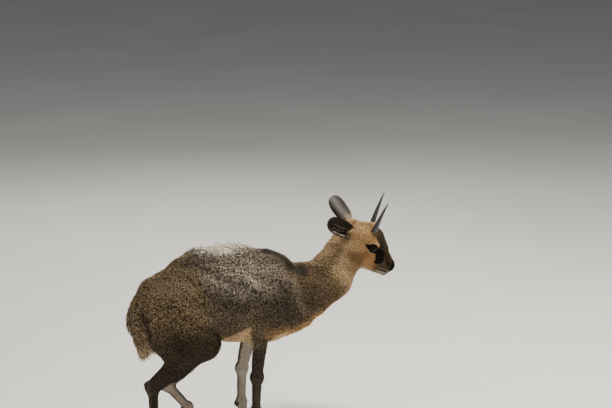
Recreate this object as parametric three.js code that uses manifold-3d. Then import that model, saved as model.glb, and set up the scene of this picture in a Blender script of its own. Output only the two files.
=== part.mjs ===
// A life-size klipspringer buck, standing on the tips of its hooves with its head held low and tilted.
// The flesh is one smooth field of muscle and bone forms, meshed region by region and parted with thin
// cuts. Ears, horns, eyes, hooves and tail are lofted shapes set on it. Units are millimetres, +Z is up,
// the animal faces +X and its left side is +Y. The origin is on the floor below the middle of the animal.

import * as THREE from "three";
import { mergeVertices } from "three/addons/utils/BufferGeometryUtils.js";
import Module from "manifold-3d";

const wasm = await Module();
wasm.setup();

// Driving dimensions

const partGap = 0.35; // between neighbouring pieces
// How far ahead of, and to the left of, the point under the loin the middle of the whole animal stands.
const middle = { ahead: 130, left: 7.4 };

// The trunk and neck as balls on the spine: x, z and radius, with the share of width to depth.
const rump = { x: -151, z: 298, r: 77 };
const pelvis = { x: -131, z: 338, r: 85 };
const loin = { x: -32, z: 367, r: 119 };
const ribs = { x: 46, z: 366, r: 127 };
const chest = { x: 130, z: 351, r: 120 };
const breast = { x: 192, z: 340, r: 92 };
const neckBase = { x: 246, z: 365, r: 69 };
const neckMiddle = { x: 305, z: 403, r: 53 };
const neckTop = { x: 351, z: 470, r: 49 };
const throat = [{ x: 268, z: 336, r: 40 }, { x: 321, z: 382, r: 41 }, { x: 361, z: 434, r: 33 }];
const trunkFlat = 0.72;
const neckFlat = 0.8;

// The head has its own frame: x runs from the nape to the nose tip and z through the crown.
const headPlace = new THREE.Vector3(347, 0, 517);
const headPitch = THREE.MathUtils.degToRad(35);
const headYaw = THREE.MathUtils.degToRad(1.5);
const headRoll = THREE.MathUtils.degToRad(16);
const eyePlace = { x: 80, y: 26.5, z: 12 };
const eyeRadius = 15.5;
const hornPlace = { x: 65, y: 19.5, z: 45 };
const hornLength = 98;
const hornRadius = 8.2;

// Where the joints of each leg stand, by side: x, y and z.
const foreLegs = {
  right: { elbow: [100, -50, 252], carpus: [99, -47, 148], fetlock: [96, -46, 56], hoofX: 100 },
  left: { elbow: [92, 50, 252], carpus: [79, 46, 150], fetlock: [77, 45, 58], hoofX: 81 },
};
const hindLegs = {
  right: { knee: [-42, -60, 246], hock: [-181, -54, 138], fetlock: [-177, -50, 56], hoofX: -171 },
  left: { knee: [-22, 60, 232], hock: [-122, 56, 114], fetlock: [-68, 52, 50], hoofX: -61 },
};
const hipX = -112;
const hipZ = 345;
const hoofHeight = 31;
const hoofTip = 5.5;
const toeSpread = 8.4;
const touchDraw = 0.04; // share of the way to its neighbours that a touching corner is moved

const tailRows = 4;
const lockLength = 50;
const lockLift = 6; // of a lock's tip off the body
const mouthDepth = 3.4;
const mouthGape = 2.4;
let seed = 7; // of the small differences between locks

// A repeatable number between minus and plus the given spread.
function random(spread) {
  seed = (seed * 16807) % 2147483647;
  return (seed / 2147483647 - 0.5) * 2 * spread;
}

// Smooth fields. A form is a function of x, y and z that is negative inside.

const blend = (a, b, reach) => {
  const near = Math.max(reach - Math.abs(a - b), 0) / reach;
  return Math.min(a, b) - (near * near * reach) / 4;
};

// A cone with round ends from a to b, whose width across y is the share flat of its depth.
function roundCone(a, b, radiusA, radiusB, flat = 1) {
  const [ax, ay, az] = a;
  const d = [b[0] - ax, (b[1] - ay) / flat, b[2] - az];
  const length2 = d[0] * d[0] + d[1] * d[1] + d[2] * d[2] || 1;
  return (x, y, z) => {
    const p = [x - ax, (y - ay) / flat, z - az];
    const along = (p[0] * d[0] + p[1] * d[1] + p[2] * d[2]) / length2;
    const t = Math.min(Math.max(along, 0), 1);
    const away = Math.hypot(p[0] - t * d[0], p[1] - t * d[1], p[2] - t * d[2]);
    return (away - radiusA - t * (radiusB - radiusA)) * Math.sqrt(flat);
  };
}

// A list of [form, reach] pairs flows into one form, each melting into those before it within its reach.
const flow = (pairs) => (x, y, z) => {
  let value = pairs[0][0](x, y, z);
  for (let i = 1; i < pairs.length; i += 1) {
    value = blend(value, pairs[i][0](x, y, z), pairs[i][1]);
  }
  return value;
};

// A spine chain: neighbouring balls joined by round cones in the middle plane.
function spine(balls, flat, reach) {
  return balls.slice(1).map((ball, i) => {
    const last = balls[i];
    return [roundCone([last.x, 0, last.z], [ball.x, 0, ball.z], last.r, ball.r, flat), reach];
  });
}

function hindLegForms({ knee, hock, fetlock }, side) {
  const hip = [hipX, 34 * side, hipZ];
  const seat = [-182, 34 * side, 318];
  const calf = [hock[0] + 62, 54 * side, hock[2] + 68];
  const heel = [hock[0] - 9, hock[1], hock[2] + 9];
  const shin = [hock[0] * 0.55 + knee[0] * 0.45, knee[1], hock[2] * 0.55 + knee[2] * 0.45];
  return [
    [roundCone(hip, knee, 76, 36, 0.64), 34],
    [roundCone(seat, calf, 40, 24, 0.8), 34],
    [roundCone(knee, shin, 37, 27, 0.62), 18],
    [roundCone(shin, hock, 28, 17, 0.7), 16],
    [roundCone(calf, heel, 12, 7.5, 1), 16],
    [roundCone(heel, hock, 10, 12, 1), 8],
    [roundCone(hock, fetlock, 14.5, 11.5, 0.92), 12],
    [roundCone(fetlock, fetlock, 14, 14, 0.95), 8],
  ];
}

function foreLegForms({ elbow, carpus, fetlock }, side) {
  const blade = [128, 40 * side, 420];
  const shoulder = [178, 44 * side, 318];
  const arm = [elbow[0] + 6, elbow[1], elbow[2] - 20];
  return [
    [roundCone(blade, shoulder, 46, 40, 0.62), 22],
    [roundCone(shoulder, elbow, 38, 22, 0.66), 16],
    [roundCone(arm, carpus, 20.5, 15, 0.9), 14],
    [roundCone(carpus, carpus, 16.5, 16.5, 0.92), 10],
    [roundCone(carpus, fetlock, 13.5, 11.5, 0.92), 10],
    [roundCone(fetlock, fetlock, 14, 14, 0.95), 8],
  ];
}

const pasternForm = ({ fetlock, hoofX }) => {
  const coronet = [hoofX, fetlock[1], hoofHeight];
  return [roundCone(fetlock, coronet, 12.5, 11.5, 1.15), 8];
};

const sides = { left: 1, right: -1 };

const bodyForm = flow([
  ...spine([rump, pelvis, loin, ribs, chest, breast], trunkFlat, 14),
  ...spine([{ ...breast, r: 78 }, neckBase, neckMiddle, neckTop], neckFlat, 18),
  ...spine(throat, neckFlat, 18),
  ...Object.entries(sides).flatMap(([name, side]) => [
    ...hindLegForms(hindLegs[name], side),
    ...foreLegForms(foreLegs[name], side),
    pasternForm(hindLegs[name]),
    pasternForm(foreLegs[name]),
  ]),
]);

// Head forms, in the head's own frame.

const pairOf = (form, reach) => [
  [(x, y, z) => form(x, Math.abs(y), z), reach],
];

const headForms = flow([
  [roundCone([22, 0, 8], [58, 0, 13], 38, 41, 0.86), 1],
  [roundCone([62, 0, 20], [156, 0, -6], 40, 16, 0.72), 10],
  [roundCone([70, 0, -31], [162, 0, -34], 36, 11.5, 0.66), 12],
  [roundCone([163, 0, -10], [165, 0, -14], 14, 13.5, 0.95), 8],
  [roundCone([72, 0, 42], [60, 0, 44], 13, 14, 1.2), 12],
  [roundCone([84, 0, 38], [116, 0, 20.5], 18.5, 13.5, 0.95), 10],
  ...pairOf(roundCone([85, 22, 10], [74, 21, 13], 17, 18), 10),
  ...pairOf(roundCone([88, 25, 26], [66, 30, 28], 6, 9), 9),
  ...pairOf(roundCone([100, 15, -12], [48, 23, -16], 14, 20), 14),
  ...pairOf(roundCone([hornPlace.x, hornPlace.y, 34], [hornPlace.x - 3, hornPlace.y + 1, 49], 13, 9.5), 10),
  ...pairOf(roundCone([14, 20, 12], [8, 27, 17], 14, 8), 12),
]);

const headTurn = new THREE.Matrix4()
  .makeRotationFromEuler(new THREE.Euler(headRoll, headPitch, headYaw, "ZYX"))
  .setPosition(headPlace);
const headUnturn = headTurn.clone().invert();

const toHead = (x, y, z) => new THREE.Vector3(x, y, z).applyMatrix4(headUnturn);
const fleshForm = (x, y, z) => {
  const body = bodyForm(x, y, z);
  const p = toHead(x, y, z);
  return blend(body, headForms(p.x, p.y, p.z), 26);
};

// Meshing a field: one vertex in each cell that the surface crosses, drawn onto the surface itself.

function meshForm(form, low, high, cell) {
  const [nx, ny, nz] = low.map((value, i) => Math.ceil((high[i] - value) / cell[i]) + 1);
  const at = (i, j, k) => (i * ny + j) * nz + k;
  const inBox = (x, y, z) =>
    Math.max(
      low[0] + cell[0] - x, x - high[0] + cell[0],
      low[1] + cell[1] - y, y - high[1] + cell[1],
      low[2] + cell[2] - z, z - high[2] + cell[2],
    );
  const field = (x, y, z) => Math.max(form(x, y, z), inBox(x, y, z));
  const values = new Float64Array(nx * ny * nz);
  for (let i = 0; i < nx; i += 1) {
    for (let j = 0; j < ny; j += 1) {
      for (let k = 0; k < nz; k += 1) {
        values[at(i, j, k)] = field(low[0] + i * cell[0], low[1] + j * cell[1], low[2] + k * cell[2]);
      }
    }
  }
  const vertexOf = new Map();
  const points = [];
  for (let i = 0; i < nx - 1; i += 1) {
    for (let j = 0; j < ny - 1; j += 1) {
      for (let k = 0; k < nz - 1; k += 1) {
        const crossing = crossingOf(values, at, i, j, k);
        if (crossing) {
          vertexOf.set(at(i, j, k), points.length);
          points.push(low.map((value, axis) => value + crossing[axis] * cell[axis]));
        }
      }
    }
  }
  points.forEach((p) => drawOnto(field, p, Math.min(...cell)));
  const corners = [];
  const steps = [[1, 0, 0], [0, 1, 0], [0, 0, 1]];
  for (let i = 1; i < nx - 1; i += 1) {
    for (let j = 1; j < ny - 1; j += 1) {
      for (let k = 1; k < nz - 1; k += 1) {
        steps.forEach(([di, dj, dk], axis) => {
          const here = values[at(i, j, k)] < 0;
          const there = values[at(i + di, j + dj, k + dk)] < 0;
          if (here === there) return;
          const [u, v] = [steps[(axis + 1) % 3], steps[(axis + 2) % 3]];
          const ring = [[0, 0], [1, 0], [1, 1], [0, 1]].map(([s, t]) =>
            vertexOf.get(at(i - s * u[0] - t * v[0], j - s * u[1] - t * v[1], k - s * u[2] - t * v[2])),
          );
          if (!here) ring.reverse();
          splitQuad(points, ring, corners);
        });
      }
    }
  }
  return solidOf(new Float32Array(points.flat()), new Uint32Array(corners));
}

// The mean of the points where the edges of one cell cross the surface, in cells, or null.
function crossingOf(values, at, i, j, k) {
  const sum = [0, 0, 0];
  let count = 0;
  for (let corner = 0; corner < 8; corner += 1) {
    const c = [corner & 1, (corner >> 1) & 1, (corner >> 2) & 1];
    const a = values[at(i + c[0], j + c[1], k + c[2])];
    for (let axis = 0; axis < 3; axis += 1) {
      if (c[axis]) continue;
      const d = [...c];
      d[axis] = 1;
      const b = values[at(i + d[0], j + d[1], k + d[2])];
      if (a < 0 === b < 0) continue;
      const cross = [...c];
      cross[axis] = a / (a - b);
      cross.forEach((value, n) => { sum[n] += value; });
      count += 1;
    }
  }
  return count ? [i + sum[0] / count, j + sum[1] / count, k + sum[2] / count] : null;
}

// Moves a point onto the surface along the field's slope, by less than one cell.
function drawOnto(field, p, cell) {
  const start = [...p];
  const probe = 0.05;
  for (let round = 0; round < 4; round += 1) {
    const value = field(...p);
    const slope = [0, 1, 2].map((axis) => {
      const q = [...p];
      q[axis] += probe;
      return (field(...q) - value) / probe;
    });
    const steep = slope.reduce((sum, s) => sum + s * s, 0);
    if (steep < 0.05) break;
    for (let axis = 0; axis < 3; axis += 1) p[axis] -= (value * slope[axis]) / steep;
  }
  if (Math.hypot(...p.map((value, n) => value - start[n])) > cell * 0.7) {
    start.forEach((value, n) => { p[n] = value; });
  }
}

// Two triangles for a quad, split along its shorter diagonal.
function splitQuad(points, [a, b, c, d], corners) {
  const span = (p, q) => Math.hypot(...points[p].map((value, n) => value - points[q][n]));
  if (span(a, c) < span(b, d)) corners.push(a, b, c, a, c, d);
  else corners.push(a, b, d, b, c, d);
}

// Solids: joining and cutting closed meshes.

const solidOf = (vertProperties, triVerts) =>
  new wasm.Manifold(new wasm.Mesh({ numProp: 3, vertProperties, triVerts }));

function solidFrom(geometry) {
  const bare = geometry.index ? geometry.toNonIndexed() : geometry.clone();
  bare.deleteAttribute("normal");
  bare.deleteAttribute("uv");
  const merged = mergeVertices(bare, 1e-4);
  return solidOf(merged.attributes.position.array, new Uint32Array(merged.index.array));
}

const largest = (solid) =>
  solid.decompose().reduce((best, piece) => (piece.volume() > best.volume() ? piece : best));

// The solid with its shortest edges drawn together, so that a cut leaves no slivers.
function tidied(solid, shortest) {
  const { vertProperties: at, triVerts } = solid.getMesh();
  const home = Array.from({ length: at.length / 3 }, (v, i) => i);
  const find = (i) => {
    let root = i;
    while (home[root] !== root) root = home[root];
    return root;
  };
  for (let i = 0; i < triVerts.length; i += 1) {
    const [a, b] = [triVerts[i], triVerts[i % 3 === 2 ? i - 2 : i + 1]];
    const span = Math.hypot(...[0, 1, 2].map((n) => at[3 * a + n] - at[3 * b + n]));
    if (span < shortest) home[Math.max(find(a), find(b))] = Math.min(find(a), find(b));
  }
  const corners = [];
  for (let i = 0; i < triVerts.length; i += 3) {
    const [a, b, c] = [find(triVerts[i]), find(triVerts[i + 1]), find(triVerts[i + 2])];
    if (a !== b && b !== c && c !== a) corners.push(a, b, c);
  }
  const numbers = new Map();
  const points = [];
  const renamed = corners.map((i) => {
    if (!numbers.has(i)) {
      numbers.set(i, numbers.size);
      points.push(at[3 * i], at[3 * i + 1], at[3 * i + 2]);
    }
    return numbers.get(i);
  });
  const edges = new Set(renamed.map((a, i) => `${a} ${renamed[i % 3 === 2 ? i - 2 : i + 1]}`));
  if (edges.size < renamed.length) return solid;
  try {
    return largest(solidOf(new Float32Array(points), new Uint32Array(renamed)));
  } catch {
    return solid;
  }
}

// Where a surface touches itself at a point, each side is drawn a little into its own body.
function parted(points, corners) {
  const shared = new Map();
  for (let i = 0; i < points.length / 3; i += 1) {
    const key = [0, 1, 2].map((n) => Math.round(points[3 * i + n] * 200)).join(" ");
    shared.set(key, [...(shared.get(key) ?? []), i]);
  }
  const touching = new Set([...shared.values()].filter((group) => group.length > 1).flat());
  const moved = points.slice();
  for (const i of touching) {
    const mean = [0, 0, 0];
    let count = 0;
    corners.forEach((corner, at) => {
      if (corner !== i) return;
      const next = corners[at % 3 === 2 ? at - 2 : at + 1];
      [0, 1, 2].forEach((n) => { mean[n] += points[3 * next + n]; });
      count += 1;
    });
    [0, 1, 2].forEach((n) => { moved[3 * i + n] += (mean[n] / count - points[3 * i + n]) * touchDraw; });
  }
  return moved;
}

function geometryFrom(solid) {
  const clean = [0.02, 0.06, 0.15].reduce((last, shortest) => tidied(last, shortest), largest(solid));
  const { vertProperties: touching, triVerts } = clean.getMesh();
  const vertProperties = parted(touching, triVerts);
  const geometry = new THREE.BufferGeometry();
  geometry.setAttribute("position", new THREE.BufferAttribute(new Float32Array(vertProperties), 3));
  geometry.setIndex(new THREE.BufferAttribute(triVerts, 1));
  geometry.computeVertexNormals();
  return geometry;
}

// A big block that fills everything past a plane.
function beyond(point, direction, shift = 0) {
  const size = 900;
  const way = new THREE.Vector3(...direction).normalize();
  const turn = new THREE.Quaternion().setFromUnitVectors(new THREE.Vector3(0, 0, 1), way);
  const block = new THREE.BoxGeometry(size, size, size)
    .applyQuaternion(turn)
    .translate(...new THREE.Vector3(...point).addScaledVector(way, size / 2 + shift).toArray());
  return solidFrom(block);
}

function egg(centre, radii, grow = 0, turn = [0, 0, 0], around = 18) {
  const shape = new THREE.SphereGeometry(1, around, Math.round(around * 0.6))
    .rotateX(Math.PI / 2)
    .scale(...radii.map((r) => r + grow))
    .applyMatrix4(new THREE.Matrix4().makeRotationFromEuler(new THREE.Euler(...turn)))
    .translate(...centre);
  return solidFrom(shape);
}

// A box between two corners.
function box(low, high) {
  const size = low.map((value, i) => high[i] - value);
  const middle = low.map((value, i) => (high[i] + value) / 2);
  return solidFrom(new THREE.BoxGeometry(...size).translate(...middle));
}

// An oval prism across y, from the depth inner outwards on one side.
function ovalPrism({ x, z, rx, rz, tilt, inner }, side, grow) {
  const depth = 160 - inner + grow;
  const shape = new THREE.CylinderGeometry(1, 1, depth, 40)
    .scale(rx + grow, 1, rz + grow)
    .rotateY(tilt)
    .translate(x, side * (inner - grow + depth / 2), z);
  return solidFrom(shape);
}

// A closed tube through rings of points, with a fan at each end.
function loft(rings) {
  const count = rings[0].length;
  const points = rings.flat();
  const corners = [];
  for (let r = 0; r < rings.length - 1; r += 1) {
    for (let i = 0; i < count; i += 1) {
      const j = (i + 1) % count;
      const [a, b, c, d] = [r * count + i, r * count + j, (r + 1) * count + j, (r + 1) * count + i];
      corners.push(a, b, c, a, c, d);
    }
  }
  [0, rings.length - 1].forEach((r) => {
    const middle = points.length;
    const ring = rings[r];
    points.push([0, 1, 2].map((n) => ring.reduce((sum, p) => sum + p[n], 0) / count));
    for (let i = 0; i < count; i += 1) {
      const [a, b] = [r * count + i, r * count + ((i + 1) % count)];
      corners.push(...(r === 0 ? [middle, b, a] : [middle, a, b]));
    }
  });
  const solid = solidOf(new Float32Array(points.flat()), new Uint32Array(corners));
  return solid.volume() > 0 ? solid : flipped(points, corners);
}

function flipped(points, corners) {
  const turned = new Uint32Array(corners.length);
  for (let i = 0; i < corners.length; i += 3) {
    turned.set([corners[i], corners[i + 2], corners[i + 1]], i);
  }
  return solidOf(new Float32Array(points.flat()), turned);
}

// The parting planes and outlines

const neckCut = { point: [236, 0, 358], way: [0.86, 0, 0.5] };
const headCut = { point: [357, 0, 453], way: [0.85, 0, 0.526] };
const haunchOutline = { x: -98, z: 306, rx: 112, rz: 118, tilt: 0.25, inner: 26 };
const shoulderOutline = { x: 134, z: 330, rx: 68, rz: 116, tilt: 0, inner: 22 };
const crotch = 236;
const down = [0, 0, -1];

const reachOut = (side, low, high) => (side > 0 ? [low, high] : [-high, -low]);

// Everything that belongs to one hind leg: the oval of the haunch and all below the crotch.
function haunchRegion(side, grow) {
  const [yLow, yHigh] = reachOut(side, partGap / 2 - grow, 160);
  const under = box([-300 - grow, yLow, -20], [14 + grow, yHigh, crotch + grow]);
  return ovalPrism(haunchOutline, side, grow).add(under);
}

function shoulderRegion(side, grow) {
  const [yLow, yHigh] = reachOut(side, 20 - grow, 160);
  const under = box([58 - grow, yLow, -20], [168 + grow, yHigh, 246 + grow]);
  return ovalPrism(shoulderOutline, side, grow).add(under);
}

function makeTorso() {
  let torso = meshForm(bodyForm, [-270, -140, 190], [310, 140, 530], [27, 22, 23]);
  torso = torso.subtract(beyond(neckCut.point, neckCut.way));
  for (const side of Object.values(sides)) {
    torso = torso.subtract(haunchRegion(side, partGap)).subtract(shoulderRegion(side, partGap));
  }
  return torso.subtract(beyond([0, 0, 222], down));
}

function makeNeck() {
  return meshForm(fleshForm, [120, -100, 250], [450, 100, 580], [17, 15, 17])
    .intersect(beyond(neckCut.point, neckCut.way, partGap))
    .subtract(beyond(headCut.point, headCut.way));
}

function makeHindLeg(name, add) {
  const side = sides[name];
  const { knee, hock, fetlock, hoofX } = hindLegs[name];
  const shinWay = [hock[0] - knee[0], 0, hock[2] - knee[2]];
  const kneeWay = [-0.25, 0, -0.97];
  const kneeCut = [knee[0] - 50, 0, knee[2] - 36];
  const hockCut = [hock[0] + 16, 0, hock[2] + 30];
  const [inner, outer] = reachOut(side, -20, 140);
  add("thigh_" + name, meshForm(bodyForm, [-270, inner, 120], [50, outer, 460], [17, 15, 18])
    .intersect(haunchRegion(side, 0))
    .subtract(beyond(kneeCut, kneeWay)));
  const [shankIn, shankOut] = reachOut(side, 0, 110);
  add("hind_shank_" + name, meshForm(
    bodyForm,
    [hock[0] - 60, shankIn, hock[2] - 30],
    [knee[0] + 80, shankOut, knee[2] + 60],
    [12, 10, 13],
  )
    .intersect(haunchRegion(side, 0))
    .intersect(beyond(kneeCut, kneeWay, partGap))
    .subtract(beyond(hockCut, shinWay)));
  const [lowIn, lowOut] = reachOut(side, 8, 104);
  add("hind_cannon_" + name, meshForm(
    bodyForm,
    [Math.min(hock[0], fetlock[0]) - 46, lowIn, 8],
    [Math.max(hock[0], fetlock[0]) + 46, lowOut, hock[2] + 66],
    [10, 9.5, 13],
  )
    .intersect(beyond(hockCut, shinWay, partGap))
    .subtract(beyond([0, 0, hoofHeight + partGap], down))
    .subtract(dewclaws(fetlock, partGap)));
  makeFoot("hind", name, fetlock, hoofX, add);
}

function makeForeLeg(name, add) {
  const side = sides[name];
  const { elbow, carpus, fetlock, hoofX } = foreLegs[name];
  const elbowCut = [0, 0, elbow[2] - 36];
  const carpusCut = [0, 0, carpus[2] + 4];
  const [inner, outer] = reachOut(side, -10, 130);
  add("shoulder_" + name, meshForm(bodyForm, [40, inner, 180], [240, outer, 480], [17, 15, 18])
    .intersect(shoulderRegion(side, 0))
    .subtract(beyond(elbowCut, down)));
  const [lowIn, lowOut] = reachOut(side, 4, 110);
  const column = meshForm(
    bodyForm,
    [carpus[0] - 50, lowIn, 8],
    [elbow[0] + 60, lowOut, elbow[2] + 20],
    [9.5, 9.5, 15],
  );
  add("forearm_" + name, column
    .intersect(beyond(elbowCut, down, partGap))
    .subtract(beyond(carpusCut, down)));
  add("fore_cannon_" + name, column
    .intersect(beyond(carpusCut, down, partGap))
    .subtract(beyond([0, 0, hoofHeight + partGap], down))
    .subtract(dewclaws(fetlock, partGap)));
  makeFoot("fore", name, fetlock, hoofX, add);
}

// Two peg hooves and two dewclaws of one foot.
function makeFoot(end, name, fetlock, hoofX, add) {
  const side = sides[name];
  for (const [place, shift] of [["inner", -1], ["outer", 1]]) {
    const y = fetlock[1] + shift * side * toeSpread;
    const rows = [
      [0, hoofTip, 0], [1.6, hoofTip + 1.3, 0], [7, 7.4, -0.2], [hoofHeight, 7.9, -1.6],
    ];
    const rings = rows.map(([z, r, back]) => {
      return Array.from({ length: 12 }, (v, i) => {
        const angle = (i / 12) * Math.PI * 2;
        return [hoofX + back + r * 1.12 * Math.cos(angle), y + r * Math.sin(angle), z];
      });
    });
    add(["hoof", end, name, place].join("_"), loft(rings));
    add(["dewclaw", end, name, place].join("_"), dewclaw(fetlock, y, 0));
  }
}

const dewclaws = (fetlock, grow) =>
  dewclaw(fetlock, fetlock[1] - toeSpread, grow).add(dewclaw(fetlock, fetlock[1] + toeSpread, grow));
const dewclaw = (fetlock, y, grow) =>
  egg([fetlock[0] - 13.5, y, fetlock[2] - 6], [4.6, 4.2, 8], grow, [0, 0.35, 0], 8);

// The head, meshed in its own frame and turned into place

const headCell = 9;
const headBox = { low: [-45, -66, -118], high: [196, 66, 84] };

function headMesh(shift, cell) {
  const form = (x, y, z) => {
    const p = new THREE.Vector3(x, y, z).applyMatrix4(headTurn);
    return fleshForm(p.x, p.y, p.z) + shift;
  };
  return meshForm(form, headBox.low, headBox.high, [cell, cell, cell]);
}

const eyeBall = (side, grow) => egg(
  [eyePlace.x, eyePlace.y * side, eyePlace.z],
  [eyeRadius, eyeRadius, eyeRadius],
  grow,
  [0, 0, 0],
  16,
);

// A ring of rings, closed both ways.
function hoop(rings) {
  const [count, sideCount] = [rings.length, rings[0].length];
  const points = rings.flat();
  const corners = [];
  for (let r = 0; r < count; r += 1) {
    for (let i = 0; i < sideCount; i += 1) {
      const [s, j] = [(r + 1) % count, (i + 1) % sideCount];
      const [a, b, c, d] = [r * sideCount + i, r * sideCount + j, s * sideCount + j, s * sideCount + i];
      corners.push(a, b, c, a, c, d);
    }
  }
  const solid = solidOf(new Float32Array(points.flat()), new Uint32Array(corners));
  return solid.volume() > 0 ? solid : flipped(points, corners);
}

// The rim of both lids: an almond hoop laid on the eyeball.
function lids(side) {
  const out = new THREE.Vector3(0.28, 0.94, 0.16).normalize();
  const along = new THREE.Vector3(0.95, -0.2, -0.05).projectOnPlane(out).normalize();
  const over = new THREE.Vector3().crossVectors(along, out).normalize();
  const ringCount = 18;
  const rings = Array.from({ length: ringCount }, (v, i) => {
    const angle = (i / ringCount) * Math.PI * 2;
    const long = 1.35 * Math.cos(angle);
    const tall = 0.85 * Math.sin(angle);
    const way = out.clone().addScaledVector(along, long).addScaledVector(over, tall).normalize();
    const edge = along.clone().multiplyScalar(long).addScaledVector(over, tall);
    edge.projectOnPlane(way).normalize();
    const middle = way.clone().multiplyScalar(eyeRadius + 0.6);
    return Array.from({ length: 8 }, (w, k) => {
      const turn = (k / 8) * Math.PI * 2;
      const p = middle.clone()
        .addScaledVector(edge, 1.4 + 2.8 * Math.cos(turn))
        .addScaledVector(way, 1.9 * Math.sin(turn));
      return [eyePlace.x + p.x, (eyePlace.y + p.y) * side, eyePlace.z + p.z];
    });
  });
  return hoop(rings);
}

function makeHead() {
  let head = headMesh(0, headCell);
  const core = headMesh(mouthDepth, headCell);
  const mouth = egg([157, 0, -29.4], [24, 40, mouthGape / 2], 0, [0, -0.22, 0], 22).subtract(core);
  head = head.subtract(mouth);
  for (const side of Object.values(sides)) {
    head = head.add(lids(side)).subtract(eyeBall(side, partGap));
    head = head.subtract(egg([174, 7.4 * side, -5], [5.5, 2.4, 3.4], 0, [0, 0.5, 0.6 * side], 12));
    head = head.subtract(horn(side, partGap));
  }
  return placed(head, headTurn).intersect(beyond(headCut.point, headCut.way, partGap));
}

// A straight spike, ringed near its base, leaning back and a little out.
function horn(side, grow) {
  const root = new THREE.Vector3(hornPlace.x, hornPlace.y * side, hornPlace.z - 12);
  const tip = new THREE.Vector3(hornPlace.x - 32, (hornPlace.y + 17) * side, hornPlace.z + hornLength);
  const axis = tip.clone().sub(root);
  const across = new THREE.Vector3(0, 1, 0).projectOnPlane(axis.clone().normalize()).normalize();
  const front = new THREE.Vector3().crossVectors(across, axis.clone().normalize());
  const rows = 15;
  const rings = Array.from({ length: rows + 1 }, (v, i) => {
    const t = i / rows;
    const ridge = t > 0.12 && t < 0.5 ? 0.45 * (i % 2) : 0;
    const r = hornRadius * (1 - t) ** 0.68 * (1 - 0.12 * t) + 0.5 + ridge + grow;
    const bow = 1.5 * Math.sin(Math.PI * t);
    const centre = root.clone().addScaledVector(axis, t).addScaledVector(front, -bow);
    return Array.from({ length: 10 }, (w, k) => {
      const angle = (k / 10) * Math.PI * 2;
      const p = centre.clone()
        .addScaledVector(across, r * Math.cos(angle))
        .addScaledVector(front, r * Math.sin(angle));
      return p.toArray();
    });
  });
  return loft(rings);
}

// An ear: a cupped leaf whose opening faces the way face.
const ears = {
  right: { root: [9, -34, 19], way: [-0.87, -0.48, 0.02], face: [-0.3, -0.89, 0.34], long: 108, wide: 23.5 },
  left: { root: [3, 33, 22], way: [-0.45, 0.88, 0.03], face: [0.55, 0.75, -0.25], long: 104, wide: 21 },
};

function ear({ root, way, face, long, wide }) {
  const axis = new THREE.Vector3(...way).normalize();
  const open = new THREE.Vector3(...face).projectOnPlane(axis).normalize();
  const across = new THREE.Vector3().crossVectors(axis, open);
  const rows = 9;
  const half = 7;
  const rings = Array.from({ length: rows + 1 }, (v, i) => {
    const t = i / rows;
    const leaf = (1 - Math.abs((t - 0.5) / 0.52) ** 2.6) ** 0.45;
    const width = wide * leaf * (0.8 + 0.2 * t);
    const bend = 1.5 - 0.75 * t;
    const thick = 2.6 - 1.2 * t;
    const centre = new THREE.Vector3(...root).addScaledVector(axis, long * t - 8);
    const arc = (k, inset) => {
      const angle = bend * ((2 * k) / half - 1);
      const r = width / Math.sin(Math.min(bend, Math.PI / 2));
      return centre.clone()
        .addScaledVector(across, (r - inset) * Math.sin(angle))
        .addScaledVector(open, -(r - inset) * Math.cos(angle) + r * Math.cos(bend))
        .toArray();
    };
    const outside = Array.from({ length: half + 1 }, (w, k) => arc(k, 0));
    const inside = Array.from({ length: half + 1 }, (w, k) => arc(half - k, thick));
    return [...outside, ...inside];
  });
  return loft(rings);
}

// A solid carried by a matrix.
function placed(solid, matrix) {
  const { vertProperties, triVerts } = solid.getMesh();
  const points = vertProperties.slice();
  const v = new THREE.Vector3();
  for (let i = 0; i < points.length; i += 3) {
    v.fromArray(points, i).applyMatrix4(matrix).toArray(points, i);
  }
  return solidOf(points, triVerts);
}

function makeTail() {
  const grown = (x, y, z) => bodyForm(x, y, z) - 2 * partGap;
  const rumpBlock = meshForm(grown, [-290, -70, 180], [-130, 70, 400], [9, 9, 9]);
  let tail = egg([-206, 0, 268], [17, 23, 47], 0, [0, -0.25, 0], 14);
  for (let row = 0; row < tailRows; row += 1) {
    const drop = (row + 0.5) / tailRows;
    const count = row % 2 ? 4 : 5;
    for (let i = 0; i < count; i += 1) {
      const around = ((i + 0.5) / count - 0.5) * 2.7 + random(0.12);
      const side = Math.sin(around);
      const root = [-208 - 13 * Math.cos(around) + 20 * drop, 19 * side, 306 - 62 * drop];
      const way = [-0.42 + 0.5 * drop, 0.3 * side, -1];
      const out = [-Math.cos(around), side, 0.2];
      tail = tail.add(lock(root, way, out, lockLength + random(4), 17 + random(2), 4.5));
    }
  }
  return tail.subtract(rumpBlock);
}

// A flat tapering lock of hair: broad at its root and bent a little away from the body.
function lock(root, way, out, length, width, thick) {
  const axis = new THREE.Vector3(...way).normalize();
  const off = new THREE.Vector3(...out).projectOnPlane(axis).normalize();
  const across = new THREE.Vector3().crossVectors(axis, off);
  const rings = [[0, 0.7, 1], [0.35, 1, 1], [0.75, 0.8, 0.7], [1, 0.3, 0.3]].map(([t, w, h]) => {
    const centre = new THREE.Vector3(...root);
    centre.addScaledVector(axis, length * t).addScaledVector(off, lockLift * t * t);
    return [[1, 0], [0, 1], [-1, 0], [0, -1]].map(([s, n]) => centre.clone()
      .addScaledVector(across, (s * w * width) / 2)
      .addScaledVector(off, (n * h * thick) / 2)
      .toArray());
  });
  return loft(rings);
}

// Everything together

const coat = { color: 0x8a6b48, roughness: 0.95 };
const hornStuff = { color: 0x1d1a18, roughness: 0.55 };
const eyeStuff = { color: 0x0e0a08, roughness: 0.08 };

const group = new THREE.Group();
const animal = new THREE.Group();
animal.position.set(-middle.ahead, -middle.left, 0);
group.add(animal);

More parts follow.
